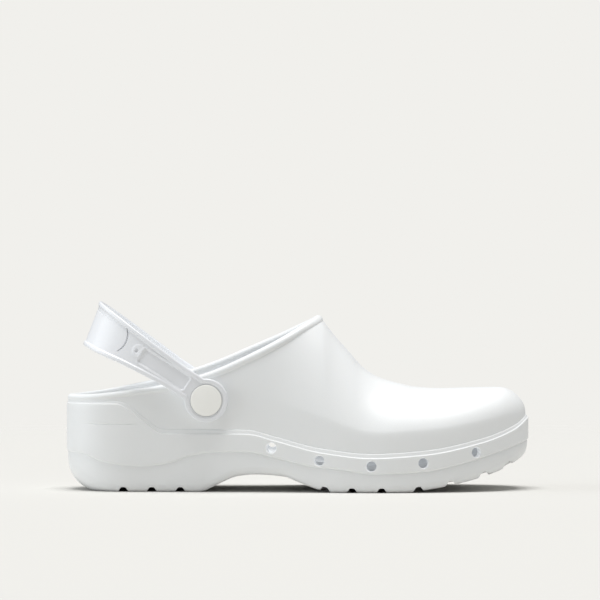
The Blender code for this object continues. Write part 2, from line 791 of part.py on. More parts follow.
def strap_mesh(half_gap):
    """The heel strap as a U in its own plane: X back along the arms, Y sideways, Z across the band."""
    half = strap_stations(half_gap)
    path = [Vector((reach, y)) for reach, y in half]
    path += [Vector((reach, -y)) for reach, y in half[-2::-1]]
    mesh = bmesh.new()
    rings = []
    for i, place in enumerate(path):
        step = path[min(i + 1, len(path) - 1)] - path[max(i - 1, 0)]
        outward = Vector((-step.y, step.x)).normalized()
        if place.x <= 0:
            outward = Vector((0, 1 if i < len(half) else -1))
        low, high = strap_edges(place.x)
        back = STRAP_LEAN * max(0, place.x / STRAP_REACH) ** 4
        section = ((high, 0), ((low + high) / 2, 0), (low, 0)) + strap_section(place.x)
        ring = []
        for across_place, thickness in section:
            spot = place + thickness * outward
            ring.append(Vector((spot.x + back * across_place, spot.y, across_place)))
        rings.append([mesh.verts.new(point) for point in ring])
    for ring, following in zip(rings, rings[1:]):
        for i in range(len(ring)):
            mesh.faces.new((ring[i - 1], ring[i], following[i], following[i - 1]))
    for ring in (rings[0], rings[-1]):
        mesh.faces.new(ring)
    bmesh.ops.recalc_face_normals(mesh, faces=mesh.faces)
    bmesh.ops.triangulate(mesh, faces=mesh.faces)
    return shaded(mesh, "heel_strap")


def turned(collection, name, profile, material, place, side):
    """A round piece from a profile of (radius, distance out of the shoe), turned about the pivot axis.
    A profile that starts off the axis is a ring, and closes on itself."""
    count = len(profile)
    edges = [(i, i + 1) for i in range(count - 1)]
    if profile[0][0] > 0:
        edges.append((count - 1, 0))
    data = bpy.data.meshes.new(name)
    data.from_pydata([(radius, 0, out) for radius, out in profile], edges, [])
    shape = add_object(name, data, material, collection)
    screw = shape.modifiers.new("turn", "SCREW")
    screw.steps = ROUND_SIDES
    screw.render_steps = ROUND_SIDES
    screw.use_merge_vertices = True
    screw.merge_threshold = 0.00001
    shape.rotation_euler = (-side * math.pi / 2, 0, 0)
    shape.location = place
    return shape


def material_named(name):
    colour, roughness = MATERIALS[name]
    material = bpy.data.materials.new(name)
    material.use_nodes = True
    shader = material.node_tree.nodes["Principled BSDF"]
    shader.inputs["Base Color"].default_value = colour
    shader.inputs["Roughness"].default_value = roughness
    shader.inputs["Metallic"].default_value = 0
    return material


def make_body(collection, cutters, material, pivot, widest, pad):
    """The moulded body with a flat pad and a hole for each rivet, tread grooves and vents."""
    body = add_object("upper_and_sole", body_mesh(), material, collection)
    hole = SHANK_RADIUS + PIECE_GAP
    for side in (OUTER, INNER):
        axis = (0, side, 0)
        foot = widest - 0.6 * WALL
        cut(body, cylinder(cutters, "pad", PAD_RADIUS, foot, pad, pivot, axis), "UNION")
        inside = widest - 3 * WALL
        cut(body, cylinder(cutters, "rivet_hole", hole, inside, pad + WALL, pivot, axis))
    for share in HEEL_GROOVES + FOREFOOT_GROOVES:
        cut(body, groove_cutter(cutters, share))
    for share in VENTS:
        for side in (OUTER, INNER):
            cut(body, vent_cutter(cutters, share, side))


def make_strap(collection, cutters, material, pivot, seat, recess):
    """The heel strap on its axis, with a hole and a round recess for each rivet."""
    axis_empty = bpy.data.objects.new("strap_axis", None)
    collection.objects.link(axis_empty)
    axis_empty.location = pivot
    strap = add_object("heel_strap", strap_mesh(seat), material, collection)
    strap.parent = axis_empty
    strap.rotation_euler = (0, -math.radians(STRAP_TILT), math.pi)
    hole = SHANK_RADIUS + PIECE_GAP
    outside = seat + 2 * BOSS_THICKNESS
    for side in (OUTER, INNER):
        axis = (0, side, 0)
        cut(strap, cylinder(cutters, "strap_hole", hole, seat - WALL, outside, pivot, axis))
        round_recess = CAP_RADIUS + PIECE_GAP
        cut(strap, cylinder(cutters, "cap_recess", round_recess, recess, outside, pivot, axis))


def make_rivets(collection, material, pivot, cap_low, socket_out):
    """A rivet with its domed cap on each side, and the washer that holds its end inside the shoe."""
    socket_in = socket_out - SOCKET_THICKNESS
    cap_edge = cap_low + CAP_THICKNESS
    bore = SHANK_RADIUS + PIECE_GAP
    for side, word in ((OUTER, "outer"), (INNER, "inner")):
        rivet = (
            (0, cap_edge + CAP_DOME),
            (0.6 * CAP_RADIUS, cap_edge + 0.7 * CAP_DOME),
            (0.93 * CAP_RADIUS, cap_edge),
            (CAP_RADIUS, cap_low + 0.6 * CAP_THICKNESS),
            (CAP_RADIUS, cap_low),
            (SHANK_RADIUS, cap_low),
            (SHANK_RADIUS, socket_in),
            (0, socket_in),
        )
        washer = (
            (bore, socket_out),
            (SOCKET_RADIUS, socket_out),
            (SOCKET_RADIUS, socket_in + 0.3 * SOCKET_THICKNESS),
            (0.9 * SOCKET_RADIUS, socket_in),
            (bore, socket_in),
        )
        turned(collection, "rivet_" + word, rivet, material, pivot, side)
        turned(collection, "rivet_washer_" + word, washer, material, pivot, side)


def main():
    for old in list(bpy.data.objects):
        bpy.data.objects.remove(old)
    clog = bpy.data.collections.new("work_clog")
    cutters = bpy.data.collections.new("cutters")
    for collection in (clog, cutters):
        bpy.context.scene.collection.children.link(collection)
    materials = {name: material_named(name) for name in MATERIALS}

    pivot = Vector((PIVOT_DISTANCE - HEEL_CENTRE, middle(PIVOT_DISTANCE), PIVOT_HEIGHT))
    _, widest = spread_near_pivot(2 * BOSS_RADIUS, BOSS_RADIUS, 0)
    narrowest, _ = spread_near_pivot(SOCKET_RADIUS, SOCKET_RADIUS, WALL)
    pad = widest + rim_roll(PIVOT_DISTANCE + BOSS_RADIUS)
    seat = pad + PIECE_GAP
    recess = seat + BOSS_THICKNESS - CAP_THICKNESS

    make_body(clog, cutters, materials["body_foam"], pivot, widest, pad)
    add_object("insole", insole_mesh(), materials["insole_foam"], clog)
    make_strap(clog, cutters, materials["strap_plastic"], pivot, seat, recess)
    make_rivets(
        clog, materials["rivet_plastic"], pivot, recess + PIECE_GAP, narrowest - PIECE_GAP
    )


main()
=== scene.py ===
# Kitchen work clog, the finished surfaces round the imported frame. Metres, +X to the toe, +Z up, the
# floor at Z 0. This is a right shoe, so its outer side lies at -Y. Sizes named mm are turned into
# metres where they are used.

import bisect
import functools
import json
import math

import bmesh
import bpy
from mathutils import Matrix, Vector


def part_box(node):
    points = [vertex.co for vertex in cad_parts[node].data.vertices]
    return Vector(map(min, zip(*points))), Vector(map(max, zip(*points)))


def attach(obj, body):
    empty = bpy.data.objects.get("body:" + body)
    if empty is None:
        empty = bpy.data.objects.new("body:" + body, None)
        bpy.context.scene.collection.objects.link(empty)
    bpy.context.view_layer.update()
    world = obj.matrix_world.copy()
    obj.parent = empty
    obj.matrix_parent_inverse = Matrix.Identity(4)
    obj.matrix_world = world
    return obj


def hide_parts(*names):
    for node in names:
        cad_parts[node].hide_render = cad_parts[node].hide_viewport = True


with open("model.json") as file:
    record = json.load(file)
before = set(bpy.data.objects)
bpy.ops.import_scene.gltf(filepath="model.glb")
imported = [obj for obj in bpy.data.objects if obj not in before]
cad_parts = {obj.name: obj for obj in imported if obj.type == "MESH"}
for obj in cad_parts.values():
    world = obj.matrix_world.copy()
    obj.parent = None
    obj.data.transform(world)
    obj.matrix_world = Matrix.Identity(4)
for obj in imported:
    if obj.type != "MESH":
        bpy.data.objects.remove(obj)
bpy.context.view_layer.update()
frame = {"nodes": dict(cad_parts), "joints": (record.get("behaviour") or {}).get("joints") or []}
mm = 0.001
outerSide = -1
innerSide = 1
bothSides = (outerSide, innerSide)
print("frame loaded:", ", ".join(sorted(frame["nodes"])))

bodyLow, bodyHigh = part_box("upper_and_sole")
shoeLength = bodyHigh.x - bodyLow.x
heelBack = bodyLow.x
pivot = Vector(frame["joints"][0]["pos_m"])

# blank materials, filled in near the end; a piece has its outside, inside and tread in that order
bodyFoam = bpy.data.materials.new("bodyFoam")
bodyInside = bpy.data.materials.new("bodyInside")
bodyTread = bpy.data.materials.new("bodyTread")
strapPlastic = bpy.data.materials.new("strapPlastic")
strapInside = bpy.data.materials.new("strapInside")
insideSlot, treadSlot = 1, 2


# Small tools for shapes

def inMetres(values):
    return {name: value * mm for name, value in values.items()}


def curveThrough(rows, column=1):
    # reads one column of a table at any place, on a smooth curve that never overshoots
    places = [row[0] for row in rows]
    values = [row[column] for row in rows]
    slopes = [(values[i + 1] - values[i]) / (places[i + 1] - places[i]) for i in range(len(rows) - 1)]
    tangents = [slopes[0]]
    for before, after in zip(slopes, slopes[1:]):
        tangents.append(0 if before * after <= 0 else 2 * before * after / (before + after))
    tangents.append(slopes[-1])

    def read(place):
        place = min(max(place, places[0]), places[-1])
        i = min(max(bisect.bisect_left(places, place) - 1, 0), len(rows) - 2)
        span = places[i + 1] - places[i]
        t = (place - places[i]) / span
        return (
            values[i] * (1 + 2 * t) * (1 - t) ** 2
            + tangents[i] * span * t * (1 - t) ** 2
            + values[i + 1] * t * t * (3 - 2 * t)
            - tangents[i + 1] * span * t * t * (1 - t)
        )

    return read


def ramp(value, start, end):
    t = min(max((value - start) / (end - start), 0.0), 1.0)
    return t * t * (3 - 2 * t)


def signedPower(value, exponent):
    return math.copysign(abs(value) ** exponent, value)


def quarterTurns(count, first=0):
    # even steps over a quarter turn
    return [k / count * math.pi / 2 for k in range(first, count + 1)]


def wrapGrid(columns, rows, place):
    # a flat grid whose points are moved to place(row, column)
    mesh = bmesh.new()
    bmesh.ops.create_grid(mesh, x_segments=columns, y_segments=rows, size=1)
    mesh.verts.ensure_lookup_table()
    for i, vert in enumerate(mesh.verts):
        vert.co = place(i // (columns + 1), i % (columns + 1))
    return mesh


def joinMeshes(meshes):
    whole = meshes[0]
    for mesh in meshes[1:]:
        spare = bpy.data.meshes.new("spare")
        mesh.to_mesh(spare)
        mesh.free()
        whole.from_mesh(spare)
        bpy.data.meshes.remove(spare)
    return whole


def closeSeams(mesh, distance=0.004 * mm):
    bmesh.ops.remove_doubles(mesh, verts=mesh.verts, dist=distance)
    bmesh.ops.dissolve_degenerate(mesh, dist=distance / 2, edges=mesh.edges)
    bmesh.ops.recalc_face_normals(mesh, faces=mesh.faces)


def addObject(name, data):
    added = bpy.data.objects.new(name, data)
    bpy.context.scene.collection.objects.link(added)
    return added


def smooth(data, sharpAngle=38):
    data.shade_smooth()
    data.set_sharp_from_angle(angle=math.radians(sharpAngle))


def makePiece(mesh, name, sharpAngle=38):
    data = bpy.data.meshes.new(name)
    mesh.to_mesh(data)
    mesh.free()
    smooth(data, sharpAngle)
    return addObject(name, data)


def turnProfile(profile, steps=96):
    # a ring or disc from points of (radius, distance out), turned about the pivot's axis
    mesh = bmesh.new()
    verts = [mesh.verts.new((radius, 0, out)) for radius, out in profile]
    for i in range(len(verts) - 1):
        mesh.edges.new((verts[i], verts[i + 1]))
    if profile[0][0] > 0:
        mesh.edges.new((verts[-1], verts[0]))
    geometry = mesh.verts[:] + mesh.edges[:]
    bmesh.ops.spin(
        mesh, geom=geometry, cent=(0, 0, 0), axis=(0, 0, 1), angle=2 * math.pi, steps=steps, use_merge=True
    )
    closeSeams(mesh)
    return mesh


def seatOn(mesh, place, outward):
    # moves a turned shape from the Z axis to an axis through place
    turn = Vector(outward).to_track_quat("Z", "Y").to_matrix().to_4x4()
    bmesh.ops.transform(mesh, matrix=Matrix.Translation(place) @ turn, verts=mesh.verts)


def plainDisc(radius, low, high, side, steps=64):
    # a plain disc on the pivot's axis, from low to high out of the middle plane
    mesh = turnProfile([(0, low), (radius, low), (radius, high), (0, high)], steps)
    seatOn(mesh, pivot, (0, side, 0))
    return mesh


def applyBoolean(piece, cutterMeshes, operation):
    cutter = makePiece(joinMeshes(cutterMeshes), "cutter")
    for material in piece.data.materials:
        cutter.data.materials.append(material)
    modifier = piece.modifiers.new("cut", "BOOLEAN")
    modifier.operation = operation
    modifier.object = cutter
    modifier.solver = "EXACT"
    bpy.context.view_layer.update()
    graph = bpy.context.evaluated_depsgraph_get()
    made = bpy.data.meshes.new_from_object(piece.evaluated_get(graph))
    piece.modifiers.clear()
    piece.data = made
    bpy.data.objects.remove(cutter)


# The last: outline, sole, band and upper of the moulded body

bodySizes = {  # mm
    "ballWidth": 107,
    "heelWidth": 75,
    "toeHeight": 62.5,
    "instepHeight": 103.6,
    "heelRimHeight": 55.5,
    "innerCollarRise": 4.3,
    "heelRound": 42,
    "toeRound": 102,
    "toeShift": 7,
    "toeSpring": 18.5,
    "archHeight": 10.7,
    "soleEdge": 4,
    "soleEdgeHeight": 5,
    "heelRoll": 18,
    "heelRollHeight": 23,
    "toeRoll": 8,
    "toeRollHeight": 13,
    "bandHeight": 21,
    "bandToeDrop": 18,
    "bandWaistHeight": 35.3,
    "counterDrop": 2,
    "stepHeight": 12,
    "stepWaistHeight": 25,
    "stepDepth": 0.8,
    "stepGrooveHeel": 0.1,
    "stepGrooveFront": 0.3,
    "lipInset": 0.75,
    "foldHeight": 41,
    "foldDepth": 0.42,
    "lipHeight": 2.6,
    "upperInset": 1.8,
    "heelInset": 0.8,
    "wall": 3.5,
    "noseLength": 17,
    "throatLength": 158,
    "rimRollHeel": 0.3,
    "rimRollThroat": 1.3,
    "footbedHeel": 27,
    "footbedBall": 10.5,
    "footbedToe": 22,
    "footbedCup": 1.6,
    "footbedFillet": 2.5,
    "grooveWidth": 6.2,
    "grooveDepth": 2.8,
    "treadBorder": 5,
    "treadDepth": 1,
    "ventDiameter": 6.2,
    "ventDrop": 4.8,
    "ventMouth": 0.45,
    "padRadius": 11,
    "padHeight": 3.2,
    "padGap": 0.3,
    "shankHole": 3.8,
}
sizes = inMetres(bodySizes)
sectionSide = 2.5  # how square the sections are sideways
planHeel = 0.30  # rows up to here follow the heel width, the rest the ball width

# share of the length, half width as a share of the width it follows, shift of the middle
planTable = (
    (0.00, 0.500, 0.00),
    (0.15, 0.500, 0.00),
    (0.30, 0.510, -0.16),
    (0.42, 0.385, -0.31),
    (0.52, 0.432, -0.28),
    (0.62, 0.486, -0.09),
    (0.70, 0.503, 0.06),
    (0.85, 0.503, 0.46),
    (1.00, 0.503, 1.00),
)

# share of the length, share of the arch height, share of the toe spring
undersideTable = (
    (0.000, 0.00, 0.00),
    (0.290, 0.00, 0.00),
    (0.333, 0.48, 0.00),
    (0.371, 0.90, 0.00),
    (0.410, 1.00, 0.00),
    (0.468, 0.90, 0.00),
    (0.507, 0.52, 0.00),
    (0.545, 0.16, 0.00),
    (0.575, 0.00, 0.00),
    (0.720, 0.00, 0.00),
    (0.800, 0.00, 0.15),
    (0.860, 0.00, 0.34),
    (0.930, 0.00, 0.66),
    (0.975, 0.00, 1.00),
    (1.000, 0.00, 1.25),
)

# top edge of the side band: share of the length, shares of its heights at ball, toe, waist and heel
bandTopTable = (
    (0.000, 0.00, 0.00, 0.00, 1.00),
    (0.110, 0.00, 0.00, 0.00, 1.00),
    (0.133, 0.00, 0.00, 0.13, 0.87),
    (0.172, 0.00, 0.00, 0.60, 0.40),
    (0.215, 0.00, 0.00, 1.00, 0.00),
    (0.390, 0.00, 0.00, 1.00, 0.00),
    (0.450, 0.28, 0.00, 0.72, 0.00),
    (0.550, 0.78, 0.00, 0.22, 0.00),
    (0.656, 1.00, 0.00, 0.00, 0.00),
    (0.770, 0.92, 0.08, 0.00, 0.00),
    (0.888, 0.64, 0.36, 0.00, 0.00),
    (0.966, 0.30, 0.70, 0.00, 0.00),
    (1.000, 0.00, 1.00, 0.00, 0.00),
)

# step below the band: share of the length, shares of its heights at the ball and the waist
bandStepTable = (
    (0.000, 0.00, 0.98),
    (0.040, 0.00, 0.93),
    (0.085, 0.30, 0.60),
    (0.160, 0.55, 0.38),
    (0.225, 0.40, 0.54),
    (0.265, 0.10, 0.84),
    (0.320, 0.00, 1.00),
    (0.390, 0.00, 1.00),
    (0.450, 0.24, 0.75),
    (0.530, 0.76, 0.29),
    (0.595, 0.96, 0.12),
    (0.656, 1.00, 0.00),
    (0.770, 0.95, 0.08),
    (0.840, 0.90, 0.26),
    (0.920, 0.60, 0.66),
    (1.000, 0.40, 1.05),
)

# place from the heel (-1) over the throat (0) to the toe (1), share of the rise from toe to instep
crownTable = (
    (-1.000, 2.60),
    (-0.459, 2.30),
    (-0.242, 1.78),
    (-0.098, 1.27),
    (0.000, 1.00),
    (0.054, 0.79),
    (0.131, 0.52),
    (0.190, 0.315),
    (0.248, 0.185),
    (0.300, 0.120),
    (0.365, 0.065),
    (0.442, 0.012),
    (0.560, -0.015),
    (0.753, 0.000),
    (1.000, 0.005),
)

# share of the length, how square the section is upwards, share of it that is an upright wall
sectionTable = (
    (0.00, 2.10, 0.00),
    (0.34, 2.05, 0.02),
    (0.42, 1.70, 0.10),
    (0.50, 1.26, 0.19),
    (0.60, 1.18, 0.20),
    (0.68, 1.30, 0.22),
    (0.76, 1.55, 0.24),
    (0.84, 1.66, 0.24),
    (0.92, 1.80, 0.24),
    (1.00, 1.90, 0.22),
)

# share of the throat length, share of the collar's rise, share of the inner side's extra rise
collarTable = (
    (0.00, 0.000, 0.00),
    (0.02, 0.001, 0.00),
    (0.10, 0.010, 0.10),
    (0.25, 0.055, 0.42),
    (0.40, 0.125, 0.80),
    (0.55, 0.255, 1.00),
    (0.72, 0.490, 0.88),
    (0.86, 0.725, 0.48),
    (0.95, 0.905, 0.14),
    (1.00, 1.000, 0.00),
)

# share of the length, shares of the footbed's heights at heel, ball and toe
footbedTable = (
    (0.00, 1.00, 0.00, 0.00),
    (0.18, 0.99, 0.00, 0.00),
    (0.32, 0.80, 0.14, 0.00),
    (0.45, 0.37, 0.66, 0.00),
    (0.55, 0.08, 0.98, 0.00),
    (0.66, 0.00, 1.00, 0.00),
    (0.77, 0.00, 0.92, 0.08),
    (0.88, 0.00, 0.45, 0.55),
    (1.00, 0.00, 0.00, 1.00),
)

treadGrooves = (0.127, 0.188, 0.249, 0.558, 0.615, 0.678, 0.756, 0.825, 0.897, 0.950)
ventPlaces = (0.443, 0.545, 0.656, 0.767, 0.881)
# sunk parts of the tread: where each starts, is full, starts to end and has ended
treadZones = ((0.045, 0.055, 0.275, 0.285), (0.585, 0.595, 0.925, 0.935))


def blendOf(table, *heights):
    # one height curve made of several columns, each times its own size
    curves = [(curveThrough(table, 1 + i), height) for i, height in enumerate(heights)]
    return lambda share: sum(curve(share) * height for curve, height in curves)


planWidths = curveThrough([
    (row[0], row[1] * (sizes["heelWidth"] if row[0] <= planHeel else sizes["ballWidth"]))
    for row in planTable
])
planShift = curveThrough(planTable, 2)
undersideCurve = blendOf(undersideTable, sizes["archHeight"], sizes["toeSpring"])
bandTopCurve = blendOf(
    bandTopTable, sizes["bandHeight"], sizes["toeHeight"] - sizes["bandToeDrop"],
    sizes["bandWaistHeight"], sizes["heelRimHeight"] - sizes["counterDrop"],
)
bandStepCurve = blendOf(bandStepTable, sizes["stepHeight"], sizes["stepWaistHeight"])
crownCurve = curveThrough(crownTable)
collarRise = curveThrough(collarTable)
collarExtra = curveThrough(collarTable, 2)
sectionCrown = curveThrough(sectionTable)
sectionWall = curveThrough(sectionTable, 2)
footbedCurve = blendOf(footbedTable, sizes["footbedHeel"], sizes["footbedBall"], sizes["footbedToe"])


def endRound(distance, length, along, sideways):
    if distance >= length:
        return 1.0
    share = min(1.0, 1 - distance / length)
    return (1 - share**along) ** (1 / sideways)


def middle(x):
    return planShift(x / shoeLength) * sizes["toeShift"]


def halfWidth(x):
    heelEnd = endRound(x, sizes["heelRound"], 2.3, 2.1)
    toeEnd = endRound(shoeLength - x, sizes["toeRound"], 2.5, 2.25)
    return planWidths(x / shoeLength) * heelEnd * toeEnd


def placeAt(angle):
    return shoeLength * (1 - math.cos(angle)) / 2


def angleAt(x):
    return math.acos(min(1.0, max(-1.0, 1 - 2 * x / shoeLength)))


@functools.cache
def outlineFrame(angle):
    # place, half width, forward lean and sideways share of the outline's normal
    small = 1e-4
    ends = []
    for a in (angle - small, angle + small):
        x = placeAt(a)
        ends.append((x, math.copysign(halfWidth(x), math.sin(a))))
    (x0, w0), (x1, w1) = ends
    length = math.hypot(x1 - x0, w1 - w0)
    place = placeAt(angle)
    return place, halfWidth(place), -(w1 - w0) / length, (x1 - x0) / length


def outline(angle, inset):
    place, half, lean, side = outlineFrame(angle)
    return place - lean * inset, half - side * inset, lean


def sidePoint(angle, inset, side, height):
    x, half, _ = outline(angle, inset)
    return Vector((x, middle(x) + side * half, height))


def grooveRise(x):
    # how far the tread grooves cut up into the underside at x
    away = min(abs(x - share * shoeLength) for share in treadGrooves)
    flat, edge = sizes["grooveWidth"] * 0.16, sizes["grooveWidth"] * 0.56
    return (1 - ramp(away, flat, edge)) * sizes["grooveDepth"]


def treadRecess(x):
    # the underside is sunk between its lugs at the heel and under the forefoot
    share = x / shoeLength
    sunk = sum(ramp(share, a, b) * (1 - ramp(share, c, d)) for a, b, c, d in treadZones)
    return sunk * sizes["treadDepth"]


def underside(x):
    return undersideCurve(x / shoeLength)


def bandTop(x):
    return bandTopCurve(x / shoeLength)


def upperInset(angle):
    share = min(1.0, (1 - math.cos(angle)) / 2 / planHeel)
    return sizes["heelInset"] + (sizes["upperInset"] - sizes["heelInset"]) * share


def collarHeight(x, side):
    share = x / sizes["throatLength"]
    extra = collarExtra(share) if side == innerSide else 0
    rise = collarRise(share) * (sizes["instepHeight"] - sizes["heelRimHeight"])
    return sizes["heelRimHeight"] + rise + extra * sizes["innerCollarRise"]


def upperBase(x):
    top = bandTop(x)
    if x >= sizes["throatLength"]:
        return top + sizes["lipHeight"]
    return top + min(sizes["lipHeight"], 0.4 * (collarHeight(x, outerSide) - top))


def crownHeight(x):
    throat = sizes["throatLength"]
    span = shoeLength - throat if x > throat else throat
    rise = crownCurve((x - throat) / span) * (sizes["instepHeight"] - sizes["toeHeight"])
    base = upperBase(x)
    nose = endRound(shoeLength - sizes["upperInset"] - x, sizes["noseLength"], 2.2, 2.2)
    return base + (sizes["toeHeight"] + rise - base) * nose


@functools.cache
def stationSizes(angle):
    x, half, _ = outline(angle, upperInset(angle))
    share = x / shoeLength
    section = (sectionCrown(share), sectionWall(share))
    return x, half, middle(x), upperBase(x), crownHeight(x), section


def sectionRise(turn, section):
    # an upright wall first, then the arch over it
    crown, wall = section
    upright = 1 - (1 - min(1.0, turn / 0.22)) ** 2
    return wall * upright + (1 - wall) * signedPower(math.sin(turn), 2 / crown)


def upperPoint(angle, turn, side):
    # turn runs from 0 at the band to a quarter turn at the crown
    x, half, mid, base, crown, section = stationSizes(angle)
    y = mid + side * half * signedPower(math.cos(turn), 2 / sectionSide)
    z = base + (crown - base) * sectionRise(turn, section)
    return Vector((x, y, z))


def upperNormal(angle, turn, side):
    x = placeAt(angle)
    if x < 0.01 * mm:
        return Vector((-1, 0, 0))
    if x > shoeLength - 0.01 * mm:
        return Vector((1, 0, 0))
    small = 1e-3
    turn = max(turn, small)
    along = upperPoint(angle + small, turn, side) - upperPoint(angle - small, turn, side)
    up = upperPoint(angle, turn + small, side) - upperPoint(angle, turn - small, side)
    normal = along.cross(up).normalized()
    outward = Vector((0, side * math.cos(turn), math.sin(turn)))
    return normal if normal.dot(outward) > 0 else -normal


def lastTurn(angle, side):
    x, _, _, base, crown, section = stationSizes(angle)
    if x >= sizes["throatLength"] - 0.002 * mm:
        return math.pi / 2
    share = min(1.0, (collarHeight(x, side) - base) / (crown - base))
    low, high = 0.0, math.pi / 2
    for _ in range(40):
        turn = (low + high) / 2
        if sectionRise(turn, section) < share:
            low = turn
        else:
            high = turn
    return high


bodyFineness = {
    "backStations": 64,
    "frontStations": 60,
    "grooveStations": 12,
    "upperRows": 44,
    "rimRows": 14,
    "innerRows": 22,
    "footRows": 6,
    "floorRows": 10,
    "rollRows": 9,
    "cornerRows": 3,
    "throatGaps": (0.02, 0.07, 0.18, 0.38, 0.62),
}


def throatStation():
    # the station whose upper, which starts further in, is just at the throat
    throat = sizes["throatLength"]
    angle = angleAt(throat)
    return 2 * throat - outline(angle, upperInset(angle))[0]


def stationPlaces():
    throat, fine = throatStation(), bodyFineness
    back, front = fine["backStations"], fine["frontStations"]
    behind = [throat * (1 - math.cos(math.pi * k / back)) / 2 for k in range(back + 1)]
    ahead = [
        throat + (shoeLength - throat) * (1 - math.cos(math.pi * k / front)) / 2
        for k in range(1, front + 1)
    ]
    # the collar turns quickly at the throat, so it gets a few close stations
    close = [throat - gap * mm for gap in fine["throatGaps"]]
    fixed = {behind[0], behind[-1], ahead[-1], *close}
    places = {place for place in behind + ahead if not throat - 0.6 * mm < place < throat} | set(close)
    for share in treadGrooves:
        for k in range(fine["grooveStations"] + 1):
            offset = sizes["grooveWidth"] * 0.58 * (2 * k / fine["grooveStations"] - 1)
            places.add(share * shoeLength + offset)
    kept = []
    for place in sorted(places):
        crowded = kept and place - kept[-1] < 0.2 * mm and place > 2 * mm and place < shoeLength - 2 * mm
        if place in fixed or not crowded:
            kept.append(place)
    return kept


def roundedLine(corners, steps):
    # corners are (inset, height, rounding, rows before it); rounds each corner, same rows every time
    points = []
    for i, (inset, height, rounding, rows) in enumerate(corners):
        here = Vector((inset, height))
        if i == 0:
            points.append(here)
            continue
        before = Vector(corners[i - 1][:2])
        if i < len(corners) - 1:
            after = Vector(corners[i + 1][:2])
            reach = min(rounding, 0.45 * (here - before).length, 0.45 * (after - here).length)
            start = here + (before - here).normalized() * reach
            end = here + (after - here).normalized() * reach
        else:
            start = end = here
        last = points[-1]
        points += [last.lerp(start, k / rows) for k in range(1, rows + 1)]
        if i < len(corners) - 1:
            for k in range(1, steps + 1):
                t = k / steps
                points.append(start * (1 - t) ** 2 + here * 2 * t * (1 - t) + end * t * t)
    return points


def heelFold(place, step, top):
    # height and depth of the faint fold across the heel; elsewhere it has no depth
    middleOfBand = (step + top) / 2
    atHeel = 1 - ramp(place, 50 * mm, 75 * mm)
    height = middleOfBand + (sizes["foldHeight"] - middleOfBand) * atHeel
    fade = ramp(place, 12 * mm, 22 * mm) * (1 - ramp(place, 42 * mm, 49 * mm))
    return min(height, top - 1.6 * mm), fade * sizes["foldDepth"]


def sideProfile(angle):
    # the sole's side from the tread's edge to the foot of the upper, as (inset, height)
    place, _, lean, _ = outlineFrame(angle)
    top = bandTop(place)
    step = bandStepCurve(place / shoeLength)
    end = "heel" if place < shoeLength / 2 else "toe"
    turned = lean * lean
    edge = sizes["soleEdge"] + (sizes[end + "Roll"] - sizes["soleEdge"]) * turned
    lowEdge = sizes["soleEdgeHeight"]
    edgeHeight = lowEdge + (sizes[end + "RollHeight"] - lowEdge) * turned
    floor = underside(outline(angle, edge)[0])
    edgeHeight = min(edgeHeight, 0.8 * (step - floor))
    depth = sizes["stepDepth"]
    roll = []
    for turn in quarterTurns(bodyFineness["rollRows"])[:-1]:
        inset = depth + (edge - depth) * (1 - math.sin(turn))
        roll.append(Vector((inset, floor + edgeHeight * (1 - math.cos(turn)))))
    crease = upperInset(angle)
    base = upperBase(outline(angle, crease)[0])
    lip = min(sizes["lipInset"], 0.5 * crease)
    low = min(0.5 * mm, 0.3 * (base - top))
    front = ramp(place / shoeLength, 0.3, 0.45)
    groove = sizes["stepGrooveHeel"] + (sizes["stepGrooveFront"] - sizes["stepGrooveHeel"]) * front
    fold, foldDepth = heelFold(place, step, top)
    corners = (
        (depth, floor + edgeHeight, 0, 1),
        (depth, step - 1.6 * depth, 0.3 * mm, 4),
        (depth + groove, step - depth, 0.15 * mm, 1),
        (0, step, 0.5 * mm, 1),
        (0, fold - 0.7 * mm, 0.2 * mm, 4),
        (foldDepth, fold, 0.15 * mm, 1),
        (0, fold + 0.5 * mm, 0.2 * mm, 1),
        (0, top - 0.2 * mm, 0.2 * mm, 4),
        (lip, top + 0.3 * low, 0.2 * mm, 1),
        (lip + 0.45 * (crease - lip), base - 0.5 * low, 0.15 * mm, 3),
        (crease, base, 0, 1),
    )
    return roll + roundedLine(corners, bodyFineness["cornerRows"])


def outerColumn(angle, side):
    # one station of the outer skin, from the middle of the underside to the collar or crown
    profile = sideProfile(angle)
    x, half, _ = outline(angle, profile[0].x)
    count = bodyFineness["floorRows"]
    border = max(half - sizes["treadBorder"], 0.62 * half)
    sunk = max(half - sizes["treadBorder"] - 0.8 * mm, 0.5 * half)
    height = profile[0].y + treadRecess(x)
    points = []
    for k in range(count + 1):
        points.append(Vector((x, middle(x) + side * sunk * k / count, height)))
    points.append(Vector((x, middle(x) + side * border, profile[0].y)))
    points += [sidePoint(angle, inset, side, height) for inset, height in profile]
    half = outline(angle, profile[-1].x)[1]
    for point in points:
        sideways = abs(point.y - middle(point.x)) / max(half, mm)
        rise = grooveRise(point.x) * ramp(sideways, 0.42, 0.62)
        point.z = max(point.z, underside(point.x) + rise)
    end = lastTurn(angle, side)
    rows = bodyFineness["upperRows"]
    points += [upperPoint(angle, end * (k / rows) ** 1.15, side) for k in range(1, rows + 1)]
    return points


def footbedHeight(x):
    return footbedCurve(x / shoeLength)


